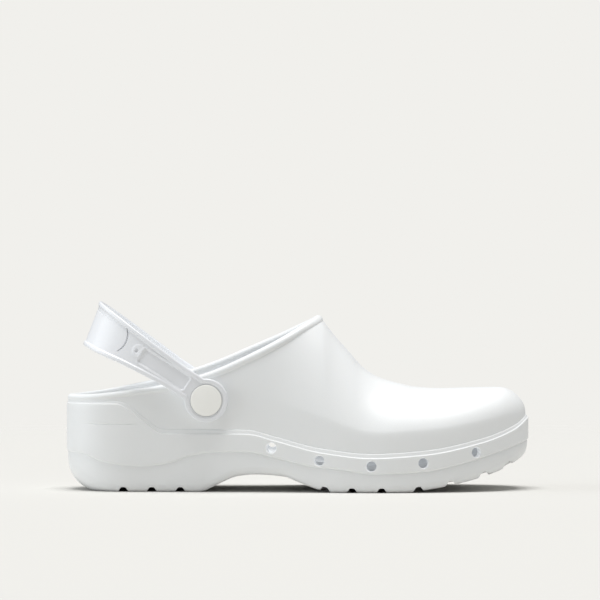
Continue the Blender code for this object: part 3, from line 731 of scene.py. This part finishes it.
def innerColumn(angle, side):
    # one station of the inner skin, from the collar or crown down to the middle of the footbed
    end = lastTurn(angle, side)
    rows = bodyFineness["innerRows"]
    wall = sizes["wall"]
    points = []
    for k in range(rows, -1, -1):
        turn = end * k / rows
        points.append(upperPoint(angle, turn, side) - wall * upperNormal(angle, turn, side))
    inset = upperInset(angle) + wall
    fillet = sizes["footbedFillet"]
    edge = footbedHeight(outline(angle, inset)[0]) + sizes["footbedCup"]
    points.append(sidePoint(angle, inset, side, edge + fillet))
    for turn in quarterTurns(bodyFineness["footRows"], 1):
        bend = inset + fillet * (1 - math.cos(turn))
        points.append(sidePoint(angle, bend, side, edge + fillet * (1 - math.sin(turn))))
    count = bodyFineness["floorRows"]
    foot = points[-1]
    for k in range(count - 1, -1, -1):
        share = k / count
        y = middle(foot.x) + (foot.y - middle(foot.x)) * share
        points.append(Vector((foot.x, y, footbedHeight(foot.x) + sizes["footbedCup"] * share**4)))
    return points


def rimRows(outerLine, innerLine):
    # the collar's rolled edge, one row of points for each place along it
    rows = []
    count = len(outerLine)
    steps = bodyFineness["rimRows"]
    for i in range(count):
        outer, inner = outerLine[i], innerLine[i]
        tangent = outerLine[(i + 1) % count] - outerLine[i - 1]
        outward = (outer - inner).normalized()
        upward = tangent.cross(outward).normalized()
        if upward.dot(Vector((-0.5, 0, 1))) < 0:
            upward = -upward
        share = outer.x / sizes["throatLength"]
        roll = sizes["rimRollHeel"] + (sizes["rimRollThroat"] - sizes["rimRollHeel"]) * share
        radius = sizes["wall"] / 2 + roll
        chord = (outer - inner).length / 2
        rise = math.sqrt(max(radius * radius - chord * chord, 0))
        centre = (outer + inner) / 2 + rise * upward
        start = -math.asin(rise / radius)
        row = []
        for step in range(steps + 1):
            turn = start + (math.pi - 2 * start) * step / steps
            row.append(centre + radius * (math.cos(turn) * outward + math.sin(turn) * upward))
        row[0], row[-1] = outer.copy(), inner.copy()
        rows.append(row)
    return rows


def loopSkin(columns):
    # a skin round the whole shoe from its columns on both sides
    loop = columns[outerSide] + columns[innerSide][-2::-1]
    return wrapGrid(len(loop) - 1, len(loop[0]) - 1, lambda row, column: loop[column][row])


def ventCutter(share, side):
    angle = angleAt(share * shoeLength)
    x, half, lean = outline(angle, 0)
    outward = Vector((lean, side * math.sqrt(1 - lean * lean), 0))
    radius, mouth = sizes["ventDiameter"] / 2, sizes["ventMouth"]
    reach = sizes["upperInset"] + sizes["wall"] + sizes["footbedFillet"]
    profile = [(0, -reach), (radius, -reach)]
    for turn in quarterTurns(4):
        profile.append((radius + mouth * (1 - math.cos(turn)), -mouth * (1 - math.sin(turn))))
    profile += [(radius + mouth, 2 * mm), (0, 2 * mm)]
    mesh = turnProfile(profile, 40)
    place = Vector((x + heelBack, middle(x) + side * half, bandTop(x) - sizes["ventDrop"]))
    for face in mesh.faces:
        face.material_index = insideSlot
    seatOn(mesh, place, outward)
    return mesh


def makeBody():
    angles = [angleAt(x) for x in stationPlaces()]
    outer = {side: [outerColumn(a, side) for a in angles] for side in bothSides}
    inner = {side: [innerColumn(a, side) for a in angles] for side in bothSides}
    last = min(range(len(angles)), key=lambda k: abs(placeAt(angles[k]) - throatStation()))
    loop = [(outerSide, k) for k in range(last + 1)] + [(innerSide, k) for k in range(last - 1, 0, -1)]
    rim = rimRows([outer[s][k][-1] for s, k in loop], [inner[s][k][0] for s, k in loop])
    rim.append(rim[0])
    bead = wrapGrid(len(rim) - 1, len(rim[0]) - 1, lambda row, column: rim[column][row])
    outside, inside = loopSkin(outer), loopSkin(inner)
    outside.normal_update()
    for face in outside.faces:
        spot = face.calc_center_median()
        low = spot.z < underside(spot.x) + sizes["grooveDepth"] + 0.4 * mm
        if low and abs(face.normal.z) > 0.6:
            face.material_index = treadSlot
    for face in inside.faces:
        face.material_index = insideSlot
    mesh = joinMeshes([outside, bead, inside])
    closeSeams(mesh)
    bmesh.ops.translate(mesh, vec=(heelBack, 0, 0), verts=mesh.verts)
    body = makePiece(mesh, "mouldedBody")
    for material in (bodyFoam, bodyInside, bodyTread):
        body.data.materials.append(material)
    print("body skin:", len(body.data.polygons), "faces")
    return body


body = makeBody()
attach(body, "shoe")
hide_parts("upper_and_sole")


# Lugs of the tread, in rows between the grooves

lugSizes = {"across": 7.4, "gap": 1.5, "taper": 0.5, "edge": 0.35, "root": 0.4}  # mm
lug = inMetres(lugSizes)


def makeLug():
    # one six-sided lug, its face at Z 0 and its root above
    mesh = bmesh.new()
    height = sizes["treadDepth"] + lug["root"]
    radius = lug["across"] / 2
    bmesh.ops.create_cone(
        mesh, cap_ends=True, segments=6, radius1=radius - lug["taper"], radius2=radius, depth=height
    )
    bmesh.ops.translate(mesh, vec=(0, 0, height / 2), verts=mesh.verts)
    low = [edge for edge in mesh.edges if all(vert.co.z < 0.1 * mm for vert in edge.verts)]
    bmesh.ops.bevel(
        mesh, geom=low, offset=lug["edge"], segments=2, profile=0.5, affect="EDGES", material=-1
    )
    return mesh


def lugRows():
    # places along the shoe, in the strips that the grooves leave
    heel = [0.055] + [share for share in treadGrooves if share < 0.27] + [0.278]
    front = [0.592] + [share for share in treadGrooves if 0.6 < share < 0.92] + [0.925]
    rows = []
    pitch = lug["across"] * 0.87 + lug["gap"]
    for strip in (heel, front):
        for start, end in zip(strip, strip[1:]):
            low = start * shoeLength + (sizes["grooveWidth"] * 0.5 if start in treadGrooves else 0)
            high = end * shoeLength - (sizes["grooveWidth"] * 0.5 if end in treadGrooves else 0)
            count = int((high - low) / pitch)
            for k in range(count):
                rows.append(low + (high - low) * (k + 0.5) / count)
    return rows


def makeTread():
    single = bpy.data.meshes.new("lug")
    shape = makeLug()
    shape.to_mesh(single)
    shape.free()
    mesh = bmesh.new()
    pitch = lug["across"] + lug["gap"]
    for i, x in enumerate(lugRows()):
        reach = halfWidth(x) - sizes["soleEdge"] - sizes["treadBorder"] - lug["across"] / 2
        slope = math.atan2(underside(x + mm) - underside(x - mm), 2 * mm)
        count = int(reach / pitch + 0.5 * (i % 2))
        for k in range(-count, count + 1 - i % 2):
            y = (k + 0.5 * (i % 2)) * pitch
            if abs(y) > reach:
                continue
            before = len(mesh.verts)
            mesh.from_mesh(single)
            mesh.verts.ensure_lookup_table()
            turn = Matrix.Rotation(-slope, 4, "Y") @ Matrix.Rotation(math.pi / 2, 4, "Z")
            spot = Matrix.Translation((x + heelBack, middle(x) + y, underside(x) + 0.03 * mm))
            bmesh.ops.transform(mesh, matrix=spot @ turn, verts=mesh.verts[before:])
            for vert in mesh.verts[before:]:
                vert.co.z = max(vert.co.z, 0.02 * mm)
    bpy.data.meshes.remove(single)
    piece = makePiece(mesh, "treadLugs", 30)
    piece.data.materials.append(bodyTread)
    print("tread lugs:", len(piece.data.polygons), "faces")
    return piece


treadLugs = makeTread()
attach(treadLugs, "shoe")


# Heel strap, rebuilt in its own plane: reach runs back from the rivets, across runs up its width

strapSizes = {  # mm
    "reach": 85.5,
    "thickness": 2.6,
    "rim": 0.8,
    "rimWidth": 2.2,
    "rimSlope": 1.0,
    "width": 29,
    "bossRadius": 13.2,
    "bossThickness": 4.2,
    "bossLength": 24,
    "edgeRound": 0.95,
    "panelStart": 15,
    "panelEnd": 47.5,
    "panelWidth": 9.5,
    "panelDepth": 0.7,
    "panelCorner": 1.6,
    "panelRib": 0.25,
    "discReach": 49.8,
    "discAcross": 2.6,
    "discRadius": 4.0,
    "discRise": 0.35,
    "discEdge": 0.3,
    "dimpleDepth": 1.1,
    "lineAcross": 9.2,
    "lineDepth": 0.22,
    "arcReach": 71.6,
    "arcAcross": 1.3,
    "arcRadius": 11.4,
    "arcBar": 0.5,
    "arcDepth": 0.7,
    "capRadius": 9.5,
    "capGap": 0.35,
    "capThickness": 1.5,
    "spacing": 0.5,
}
strap = inMetres(strapSizes)
strapTilt = math.radians(33)
strapBend = 2.6  # how square the turn behind the heel is
strapLean = 0.25  # how far the back of the strap leans out towards its top
arcTurns = (126, 213)  # degrees over which the curved line runs
strapRows = {"outside": 64, "inside": 20, "corner": 4, "boss": 28}

# share of the reach, lower and upper edge as shares of the width
strapEdgeTable = (
    (0.00, -0.225, 0.355),
    (0.28, -0.230, 0.360),
    (0.41, -0.260, 0.380),
    (0.63, -0.335, 0.425),
    (0.85, -0.440, 0.475),
    (0.97, -0.480, 0.500),
    (1.00, -0.490, 0.510),
)
strapLow = curveThrough(strapEdgeTable, 1)
strapHigh = curveThrough(strapEdgeTable, 2)
strapFrameLow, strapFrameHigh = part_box("heel_strap")
strapSeat = (strapFrameHigh.y - strapFrameLow.y) / 2 - strap["bossThickness"]


def strapEdges(reach):
    boss = math.sqrt(max(strap["bossRadius"] ** 2 - reach**2, 0))
    if reach <= 0:
        return -boss, boss
    share = reach / strap["reach"]
    return min(strapLow(share) * strap["width"], -boss), max(strapHigh(share) * strap["width"], boss)


def edgeDistance(reach, across):
    # distance to the strap's outline; the larger of that to the boss and that to the arm
    low, high = strapEdges(max(reach, 0))
    boss = strap["bossRadius"] - math.hypot(reach, across)
    arm = min(across - low, high - across) if reach > 0 else -1
    return max(boss, arm)


def panelDistance(reach, across):
    low, high = strapEdges(reach)
    mid = (low + high) / 2
    corner = strap["panelCorner"]
    along = abs(reach - (strap["panelStart"] + strap["panelEnd"]) / 2)
    along -= (strap["panelEnd"] - strap["panelStart"]) / 2 - corner
    up = abs(across - mid) - (strap["panelWidth"] / 2 - corner)
    return corner - math.hypot(max(along, 0), max(up, 0)) - min(max(along, up), 0)


def strapFace(reach, across):
    # height of the outer face over the inner one
    fade = ramp(reach, strap["bossRadius"], strap["bossLength"])
    arm = strap["thickness"] + strap["rim"]
    height = strap["bossThickness"] + (arm - strap["bossThickness"]) * fade
    edge = edgeDistance(reach, across)
    height -= strap["rim"] * ramp(edge, strap["rimWidth"], strap["rimWidth"] + strap["rimSlope"])
    if reach > 0:
        panel = panelDistance(reach, across)
        height -= strap["panelDepth"] * ramp(panel, -0.1 * mm, 0.5 * mm)
        height += strap["panelRib"] * (1 - ramp(abs(panel + 0.8 * mm), 0.2 * mm, 0.7 * mm))
    along, up = reach - strap["discReach"], across - strap["discAcross"]
    away, radius, edge = math.hypot(along, up), strap["discRadius"], strap["discEdge"]
    height += strap["discRise"] * (1 - ramp(away, radius - edge, radius + edge))
    dimple = math.hypot(along - 1.2 * mm, 0.7 * (up + 0.4 * mm))
    height -= strap["dimpleDepth"] * (1 - ramp(dimple, 0.5 * mm, 1.2 * mm))
    line = 1 - ramp(abs(across - strap["lineAcross"]), 0.1 * mm, 0.5 * mm)
    return height - strap["lineDepth"] * line * ramp(reach, 0.068, 0.074)


def strapSection(reach):
    # the closed section at one station: (across, thickness) round the strap
    low, high = strapEdges(reach)
    width = high - low
    bend = min(strap["edgeRound"], 0.3 * width)
    outside, inside = strapRows["outside"], strapRows["inside"]
    flat = width - 2 * bend
    turns = [
        (bend * (1 - math.sin(turn)), bend * (1 - math.cos(turn)))
        for turn in quarterTurns(strapRows["corner"])
    ]

    def onFace(across, drop=0.0):
        return across, strapFace(reach, across) - drop

    points = [(high - bend - flat * k / inside, 0.0) for k in range(inside + 1)]
    points += [(low + late, early) for late, early in turns[1:]]
    points += [onFace(low + early, late) for late, early in turns]
    points += [onFace(low + bend + flat * k / outside) for k in range(1, outside)]
    points += [onFace(high - late, early) for late, early in turns]
    points += [(high - early, late) for late, early in turns[1:]]
    return points


def strapStations():
    # (reach, distance from the middle plane) along the inner face, evenly spaced, then boss first
    innerReach = strap["reach"] - strap["thickness"] - strap["rim"]
    power = 2 / strapBend
    fine = [
        (innerReach * math.sin(turn) ** power, strapSeat * max(0.0, math.cos(turn)) ** power)
        for turn in quarterTurns(2000)
    ]
    places = [fine[0]]
    run = 0.0
    for before, after in zip(fine, fine[1:]):
        run += math.hypot(after[0] - before[0], after[1] - before[1])
        if run >= strap["spacing"]:
            places.append(after)
            run = 0.0
    if run > strap["spacing"] / 2:
        places.append(fine[-1])
    else:
        places[-1] = fine[-1]
    boss = quarterTurns(strapRows["boss"])[:-1]
    return [(-strap["bossRadius"] * math.cos(turn), strapSeat) for turn in boss] + places


def strapToWorld(reach, across, y):
    back = Vector((-math.cos(strapTilt), 0, math.sin(strapTilt)))
    up = Vector((math.sin(strapTilt), 0, math.cos(strapTilt)))
    return pivot + reach * back + across * up + Vector((0, y, 0))


def arcCutter(side):
    # a thin bent bar that scores the curved line on the arm
    steps = 24
    start, end = (math.radians(turn) for turn in arcTurns)
    reachAt = curveThrough([place for place in strapStations() if place[0] > 0])

    def place(row, column):
        turn = start + (end - start) * column / steps
        taper = math.sin(column / steps * math.pi) ** 0.5
        halfBar = max(strap["arcBar"] * taper, 0.02 * mm)
        out = halfBar if row in (1, 2) else -halfBar
        lift = 1 * mm if row in (2, 3) else -strap["arcDepth"]
        radius = strap["arcRadius"] + out
        reach = strap["arcReach"] + radius * math.cos(turn)
        across = strap["arcAcross"] + radius * math.sin(turn)
        face = reachAt(reach) + strap["thickness"]
        return strapToWorld(reach, across, side * (face + lift))

    mesh = wrapGrid(steps, 4, place)
    bmesh.ops.remove_doubles(mesh, verts=mesh.verts, dist=0.002 * mm)
    bmesh.ops.holes_fill(mesh, edges=[edge for edge in mesh.edges if edge.is_boundary])
    bmesh.ops.recalc_face_normals(mesh, faces=mesh.faces)
    return mesh


def makeStrap():
    half = strapStations()
    path = [Vector(place) for place in half] + [Vector((r, -y)) for r, y in half[-2::-1]]
    columns = []
    for i, place in enumerate(path):
        step = path[min(i + 1, len(path) - 1)] - path[max(i - 1, 0)]
        outward = Vector((-step.y, step.x)).normalized()
        if place.x <= 0:
            outward = Vector((0, 1 if i < len(half) else -1))
        back = strapLean * max(0, place.x / strap["reach"]) ** 4
        column = []
        for across, height in strapSection(place.x):
            spot = place + height * outward
            column.append(strapToWorld(spot.x + back * across, across, spot.y))
        column.append(column[0].copy())
        columns.append(column)
    mesh = wrapGrid(len(columns) - 1, len(columns[0]) - 1, lambda row, column: columns[column][row])
    closeSeams(mesh)
    bmesh.ops.holes_fill(mesh, edges=[edge for edge in mesh.edges if edge.is_boundary])
    bmesh.ops.recalc_face_normals(mesh, faces=mesh.faces)
    mesh.normal_update()
    heart = strapToWorld(0.45 * strap["reach"], 0, 0)
    for face in mesh.faces:
        if face.normal.dot((face.calc_center_median() - heart).normalized()) < -0.3:
            face.material_index = insideSlot
    piece = makePiece(mesh, "heelStrap")
    for material in (strapPlastic, strapInside):
        piece.data.materials.append(material)
    recess = strapSeat + strap["bossThickness"] - strap["capThickness"]
    seatHole = strap["capRadius"] + strap["capGap"]
    cutters = []
    beyond = recess + 8 * mm
    for side in bothSides:
        cutters.append(plainDisc(seatHole, recess, beyond, side, 96))
        cutters.append(arcCutter(side))
    applyBoolean(piece, cutters, "DIFFERENCE")
    hole = sizes["shankHole"]
    holes = [plainDisc(hole, strapSeat - 3 * mm, beyond, side, 96) for side in bothSides]
    applyBoolean(piece, holes, "DIFFERENCE")
    smooth(piece.data)
    print("heel strap:", len(piece.data.polygons), "faces")
    return piece


heelStrap = makeStrap()
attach(heelStrap, "strap")
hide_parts("heel_strap")


# Rivets and the washers inside the shoe

rivetSizes = {  # mm
    "capEdge": 0.45,
    "capDome": 0.5,
    "capLift": 0.3,
    "shankRadius": 3.5,
    "washerRadius": 7,
    "washerEdge": 0.4,
    "washerGap": 0.3,
}
rivet = inMetres(rivetSizes)


def nodeSizes(node):
    # nearest and furthest distance from the pivot's middle, and the radius
    low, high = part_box(node)
    near, far = sorted(abs(y - pivot.y) for y in (low.y, high.y))
    return near, far, (high.z - low.z) / 2


def seatRivet(profile, steps, name, node, side):
    mesh = turnProfile(profile, steps)
    seatOn(mesh, pivot, (0, side, 0))
    piece = makePiece(mesh, name, 50)
    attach(piece, "shoe")
    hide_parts(node)
    return piece


def makeRivet(word, side):
    near, far, radius = nodeSizes("rivet_" + word)
    capLow = strapSeat + strap["bossThickness"] - strap["capThickness"] + rivet["capLift"]
    edge, dome, shank = rivet["capEdge"], rivet["capDome"], rivet["shankRadius"]
    rim = far - dome
    profile = [(0, far)]
    for k in range(1, 9):
        share = k / 8
        profile.append(((radius - edge) * share, far - dome * share**2))
    for turn in quarterTurns(5, 1):
        profile.append((radius - edge * (1 - math.sin(turn)), rim - edge * (1 - math.cos(turn))))
    profile += [(radius, capLow), (shank, capLow), (shank, near), (0, near)]
    return seatRivet(profile, 112, word + "Rivet", "rivet_" + word, side)


def makeWasher(word, side):
    near, far, _ = nodeSizes("rivet_washer_" + word)
    edge, radius = rivet["washerEdge"], rivet["washerRadius"]
    bore = rivet["shankRadius"] + rivet["washerGap"]
    profile = [(bore, far), (radius, far)]
    for turn in quarterTurns(5):
        profile.append((radius - edge * (1 - math.cos(turn)), near + edge * (1 - math.sin(turn))))
    profile += [(bore + edge, near), (bore, near + edge)]
    return seatRivet(profile, 80, word + "RivetWasher", "rivet_washer_" + word, side)


words = (("outer", outerSide), ("inner", innerSide))
rivetPieces = [make(word, side) for make in (makeRivet, makeWasher) for word, side in words]
print("rivets and washers:", len(rivetPieces))


# Rivet pads, rivet holes and vents of the body

def finishBody():
    widest = strapSeat - sizes["padGap"]
    foot = widest - sizes["padHeight"]
    pads = [plainDisc(sizes["padRadius"], foot, widest, side) for side in bothSides]
    applyBoolean(body, pads, "UNION")
    hole = sizes["shankHole"]
    cutters = [plainDisc(hole, widest - 12 * mm, widest + 4 * mm, side) for side in bothSides]
    cutters += [ventCutter(share, side) for share in ventPlaces for side in bothSides]
    applyBoolean(body, cutters, "DIFFERENCE")
    smooth(body.data)
    print("body with vents:", len(body.data.polygons), "faces")


finishBody()


# Loose insole with a softly rounded edge

insoleSizes = {"thickness": 4, "sideGap": 0.8, "edgeRound": 1.6, "lift": 0.3}  # mm
insole = inMetres(insoleSizes)
insoleRows = {"edge": 10, "floor": 14}


def insoleColumn(angle, side):
    inset = upperInset(angle) + sizes["wall"] + sizes["footbedFillet"] + insole["sideGap"]
    count, half = insoleRows["floor"], insole["thickness"] / 2
    bed = footbedHeight(outline(angle, inset)[0]) + insole["lift"]
    waist = inset - 0.3 * sizes["footbedFillet"]
    bend = insole["edgeRound"]

    def row(share, top):
        x, reach, _ = outline(angle, waist + bend)
        z = footbedHeight(x) + insole["lift"] + sizes["footbedCup"] * abs(share) ** 4
        return Vector((x, middle(x) + side * reach * share, z + (insole["thickness"] if top else 0)))

    points = [row(k / count, False) for k in range(count)]
    for k in range(insoleRows["edge"] + 1):
        turn = k / insoleRows["edge"] * math.pi - math.pi / 2
        z = bed + sizes["footbedCup"] + half + half * math.sin(turn)
        points.append(sidePoint(angle, waist + bend * (1 - math.cos(turn)), side, z))
    points += [row(k / count, True) for k in range(count - 1, -1, -1)]
    return points


def makeInsole():
    angles = [k / 110 * math.pi for k in range(111)]
    columns = {side: [insoleColumn(a, side) for a in angles] for side in bothSides}
    mesh = loopSkin(columns)
    closeSeams(mesh)
    bmesh.ops.translate(mesh, vec=(heelBack, 0, 0), verts=mesh.verts)
    piece = makePiece(mesh, "looseInsole", 60)
    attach(piece, "shoe")
    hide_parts("insole")
    return piece


insolePiece = makeInsole()
print("insole:", len(insolePiece.data.polygons), "faces")


# Camera at the photograph's angle

cameraPlace = {"lens": 250, "elevation": 0.5, "distance": 2.571, "aim": (0.1008, 0.0, 0.1164)}


def makeCamera():
    data = bpy.data.cameras.new("camera")
    data.lens = cameraPlace["lens"]
    data.sensor_width = 36
    data.clip_start, data.clip_end = 0.05, 50
    camera = addObject("camera", data)
    rise = math.radians(cameraPlace["elevation"])
    back = Vector((0, -math.cos(rise), math.sin(rise)))
    camera.location = Vector(cameraPlace["aim"]) + back * cameraPlace["distance"]
    camera.rotation_euler = (-back).to_track_quat("-Z", "Y").to_euler()
    bpy.context.scene.camera = camera


makeCamera()


# Materials

def addNodes(tree, kinds):
    return {name: tree.nodes.new("ShaderNode" + kind) for name, kind in kinds.items()}


def setInputs(node, values):
    for name, value in values.items():
        node.inputs[name].default_value = value


def joinNodes(tree, nodes, wires):
    # each wire runs from a node's output to a node's input
    for start, output, end, entry in wires:
        tree.links.new(nodes[start].outputs[output], nodes[end].inputs[entry])


def buildGrainGroup():
    # fine moulded skin: a soft pebble with a slow drift, read from a place on the piece
    group = bpy.data.node_groups.new("mouldedGrain", "ShaderNodeTree")
    for name, kind in (("Vector", "NodeSocketVector"), ("Size", "NodeSocketFloat")):
        group.interface.new_socket(name, in_out="INPUT", socket_type=kind)
    for name in ("Height", "Drift", "Speck"):
        group.interface.new_socket(name, in_out="OUTPUT", socket_type="NodeSocketFloat")
    nodes = addNodes(group, {
        "inside": "TexNoise", "pebble": "TexVoronoi", "drift": "TexNoise", "speck": "TexNoise",
        "scale": "Math", "fine": "Math", "pebbleDepth": "Math", "sum": "Math", "speckCut": "MapRange",
    })
    nodes["entry"] = group.nodes.new("NodeGroupInput")
    nodes["leave"] = group.nodes.new("NodeGroupOutput")
    nodes["scale"].operation = "DIVIDE"
    nodes["fine"].operation = "MULTIPLY"
    nodes["pebbleDepth"].operation = "MULTIPLY"
    nodes["pebble"].feature = "SMOOTH_F1"
    setInputs(nodes["scale"], {0: 1.0})
    setInputs(nodes["fine"], {1: 2.3})
    setInputs(nodes["pebbleDepth"], {1: 0.5})
    setInputs(nodes["inside"], {"Detail": 3})
    setInputs(nodes["drift"], {"Scale": 38, "Detail": 4})
    setInputs(nodes["speck"], {"Scale": 700, "Detail": 1})
    setInputs(nodes["speckCut"], {"From Min": 0.70, "From Max": 0.78})
    joinNodes(group, nodes, [("entry", "Vector", name, "Vector") for name in (
        "inside", "pebble", "drift", "speck"
    )])
    joinNodes(group, nodes, (
        ("entry", "Size", "scale", 1),
        ("scale", 0, "pebble", "Scale"),
        ("scale", 0, "fine", 0),
        ("fine", 0, "inside", "Scale"),
        ("pebble", "Distance", "pebbleDepth", 0),
        ("pebbleDepth", 0, "sum", 0),
        ("inside", 0, "sum", 1),
        ("speck", 0, "speckCut", "Value"),
        ("sum", 0, "leave", "Height"),
        ("drift", 0, "leave", "Drift"),
        ("speckCut", 0, "leave", "Speck"),
    ))
    return group


grainGroup = buildGrainGroup()


def fillGrain(material, look):
    # a moulded surface: two close tones, roughness that drifts, and the fine grain as bump
    material.use_nodes = True
    tree = material.node_tree
    nodes = addNodes(tree, {
        "place": "TexCoord", "grain": "Group", "tone": "Mix", "rough": "MapRange", "bump": "Bump",
        "specked": "Mix",
    })
    nodes["shader"] = tree.nodes["Principled BSDF"]
    setInputs(nodes["shader"], {
        "Specular IOR Level": look["specular"],
        "Subsurface Weight": look["softness"],
        "Subsurface Radius": (1.0, 0.95, 0.9),
        "Subsurface Scale": 0.0025,
        "Coat Weight": look["coat"],
        "Coat Roughness": 0.3,
    })
    # painted light: an optional glow (emission) that brightens a piece which is no lamp
    if "paintedGlow" in look:
        setInputs(nodes["shader"], {
            "Emission Color": (*look["paintedGlowColour"], 1), "Emission Strength": look["paintedGlow"],
        })
    nodes["grain"].node_tree = grainGroup
    for key in ("tone", "specked"):
        nodes[key].data_type = "RGBA"

    def toned(share):
        return (*[c * share for c in look["colour"]], 1)

    drift = look["roughDrift"]
    setInputs(nodes["grain"], {"Size": look["grainSize"] * mm})
    setInputs(nodes["tone"], {"A": toned(1), "B": toned(look["shade"])})
    setInputs(nodes["specked"], {"B": toned(look["speck"])})
    setInputs(nodes["rough"], {
        "To Min": look["roughness"] - drift, "To Max": look["roughness"] + drift,
        "From Min": 0.3, "From Max": 0.7,
    })
    setInputs(nodes["bump"], {"Distance": look["grainDepth"] * mm})
    joinNodes(tree, nodes, (
        ("place", "Object", "grain", "Vector"),
        ("grain", "Drift", "tone", "Factor"),
        ("tone", "Result", "specked", "A"),
        ("grain", "Speck", "specked", "Factor"),
        ("specked", "Result", "shader", "Base Color"),
        ("grain", "Drift", "rough", "Value"),
        ("rough", 0, "shader", "Roughness"),
        ("grain", "Height", "bump", "Height"),
        ("bump", 0, "shader", "Normal"),
    ))
    return material


def dress(piece, material):
    piece.data.materials.clear()
    piece.data.materials.append(material)


foamLook = {
    "colour": (0.86, 0.875, 0.877), "shade": 0.985, "speck": 0.965, "roughness": 0.40, "roughDrift": 0.04,
    "specular": 0.5, "softness": 0.12, "coat": 0.0, "grainSize": 0.55, "grainDepth": 0.03,
}
insideLook = {  # painted light: the inside glows, standing in for the light that also comes through the white wall
    "colour": (0.85, 0.865, 0.87), "shade": 0.975, "speck": 0.96, "roughness": 0.55, "roughDrift": 0.05,
    "specular": 0.4, "softness": 0.12, "coat": 0.0, "grainSize": 0.8, "grainDepth": 0.06,
    "paintedGlow": 0.12, "paintedGlowColour": (0.93, 0.96, 1.0),
}
treadLook = {
    "colour": (0.84, 0.85, 0.85), "shade": 0.96, "speck": 0.93, "roughness": 0.52, "roughDrift": 0.06,
    "specular": 0.4, "softness": 0.1, "coat": 0.0, "grainSize": 0.7, "grainDepth": 0.10,
}
strapLook = {
    "colour": (0.84, 0.855, 0.88), "shade": 0.99, "speck": 0.985, "roughness": 0.30, "roughDrift": 0.03,
    "specular": 0.5, "softness": 0.08, "coat": 0.15, "grainSize": 0.9, "grainDepth": 0.012,
}
# painted light: the rivet caps glow a little, though they are no lamp
capLook = {
    "colour": (0.85, 0.85, 0.815), "shade": 0.985, "speck": 0.98, "roughness": 0.36, "roughDrift": 0.03,
    "specular": 0.5, "softness": 0.05, "coat": 0.1, "grainSize": 0.4, "grainDepth": 0.010,
    "paintedGlow": 0.10, "paintedGlowColour": (1.0, 1.0, 0.95),
}
insoleLook = {
    "colour": (0.78, 0.79, 0.80), "shade": 0.96, "speck": 0.90, "roughness": 0.68, "roughDrift": 0.06,
    "specular": 0.3, "softness": 0.1, "coat": 0.0, "grainSize": 1.3, "grainDepth": 0.16,
}
fillGrain(bodyFoam, foamLook)
fillGrain(bodyInside, insideLook)
fillGrain(bodyTread, treadLook)
fillGrain(strapPlastic, strapLook)
# painted light: the strap's inner face glows, brightening it where the other arm shades it
fillGrain(strapInside, dict(strapLook, paintedGlow=0.22, paintedGlowColour=(0.94, 0.97, 1.0)))
capPlastic = fillGrain(bpy.data.materials.new("capPlastic"), capLook)
for piece in rivetPieces:
    dress(piece, capPlastic)
dress(insolePiece, fillGrain(bpy.data.materials.new("insoleFoam"), insoleLook))
print("materials ready")


# Floor and soft studio light

studio = {
    "floorTone": (0.635, 0.627, 0.600),
    "backTone": (0.879, 0.871, 0.840),
    "floorRadius": 2.2,
    "floorCentre": (0.1, 0, 0),
    "fadeStart": 0.45,
    "fadeEnd": 1.3,
    "skyStrength": 0.38,
    "skyTone": (1, 1, 1),
}


def makeFloor():
    # a round floor whose rim fades into the backdrop's own tone
    mesh = bmesh.new()
    bmesh.ops.create_circle(mesh, cap_ends=True, segments=96, radius=studio["floorRadius"])
    bmesh.ops.translate(mesh, vec=studio["floorCentre"], verts=mesh.verts)
    piece = makePiece(mesh, "studioFloor", 60)
    material = bpy.data.materials.new("floorPaper")
    material.use_nodes = True
    tree = material.node_tree
    nodes = addNodes(tree, {
        "place": "TexCoord", "shift": "VectorMath", "far": "VectorMath", "fade": "MapRange",
    })
    nodes["shader"] = tree.nodes["Principled BSDF"]
    setInputs(nodes["shader"], {
        "Base Color": (*studio["floorTone"], 1), "Roughness": 1, "Specular IOR Level": 0,
    })
    nodes["shift"].operation = "SUBTRACT"
    nodes["far"].operation = "LENGTH"
    nodes["fade"].interpolation_type = "SMOOTHERSTEP"
    setInputs(nodes["shift"], {1: studio["floorCentre"]})
    setInputs(nodes["fade"], {
        "From Min": studio["fadeStart"], "From Max": studio["fadeEnd"], "To Min": 1, "To Max": 0,
    })
    joinNodes(tree, nodes, (
        ("place", "Object", "shift", 0),
        ("shift", 0, "far", 0),
        ("far", "Value", "fade", "Value"),
        ("fade", 0, "shader", "Alpha"),
    ))
    dress(piece, material)
    return piece


def addLamp(name, origin, strength, spread, colour=(1, 1, 1)):
    # a broad even light that comes from the direction of origin
    data = bpy.data.lights.new(name, "SUN")
    data.energy = strength
    data.angle = math.radians(spread)
    data.color = colour
    light = addObject(name, data)
    light.location = origin
    light.rotation_euler = (-Vector(origin)).to_track_quat("-Z", "Y").to_euler()


def setWorld():
    # the camera sees an even pale backdrop, and the shoe is lit by a dimmer sky of the same kind
    world = bpy.data.worlds.new("studioWorld")
    world.use_nodes = True
    tree = world.node_tree
    nodes = addNodes(tree, {"seen": "Background", "rays": "LightPath", "pick": "MixShader"})
    nodes["sky"], nodes["output"] = tree.nodes["Background"], tree.nodes["World Output"]
    setInputs(nodes["sky"], {"Color": (*studio["skyTone"], 1), "Strength": studio["skyStrength"]})
    setInputs(nodes["seen"], {"Color": (*studio["backTone"], 1)})
    joinNodes(tree, nodes, (
        ("rays", "Is Camera Ray", "pick", 0),
        ("sky", 0, "pick", 1),
        ("seen", 0, "pick", 2),
        ("pick", 0, "output", "Surface"),
    ))
    bpy.context.scene.world = world


makeFloor()
addLamp("overheadLamp", (0, -0.02, 2), 2.95, 34)
addLamp("heelLamp", (-2, -0.2, 0.4), 1.15, 50, (0.90, 0.95, 1.0))
setWorld()
bpy.context.scene.view_settings.view_transform = "Standard"
print("stage, light and camera ready")
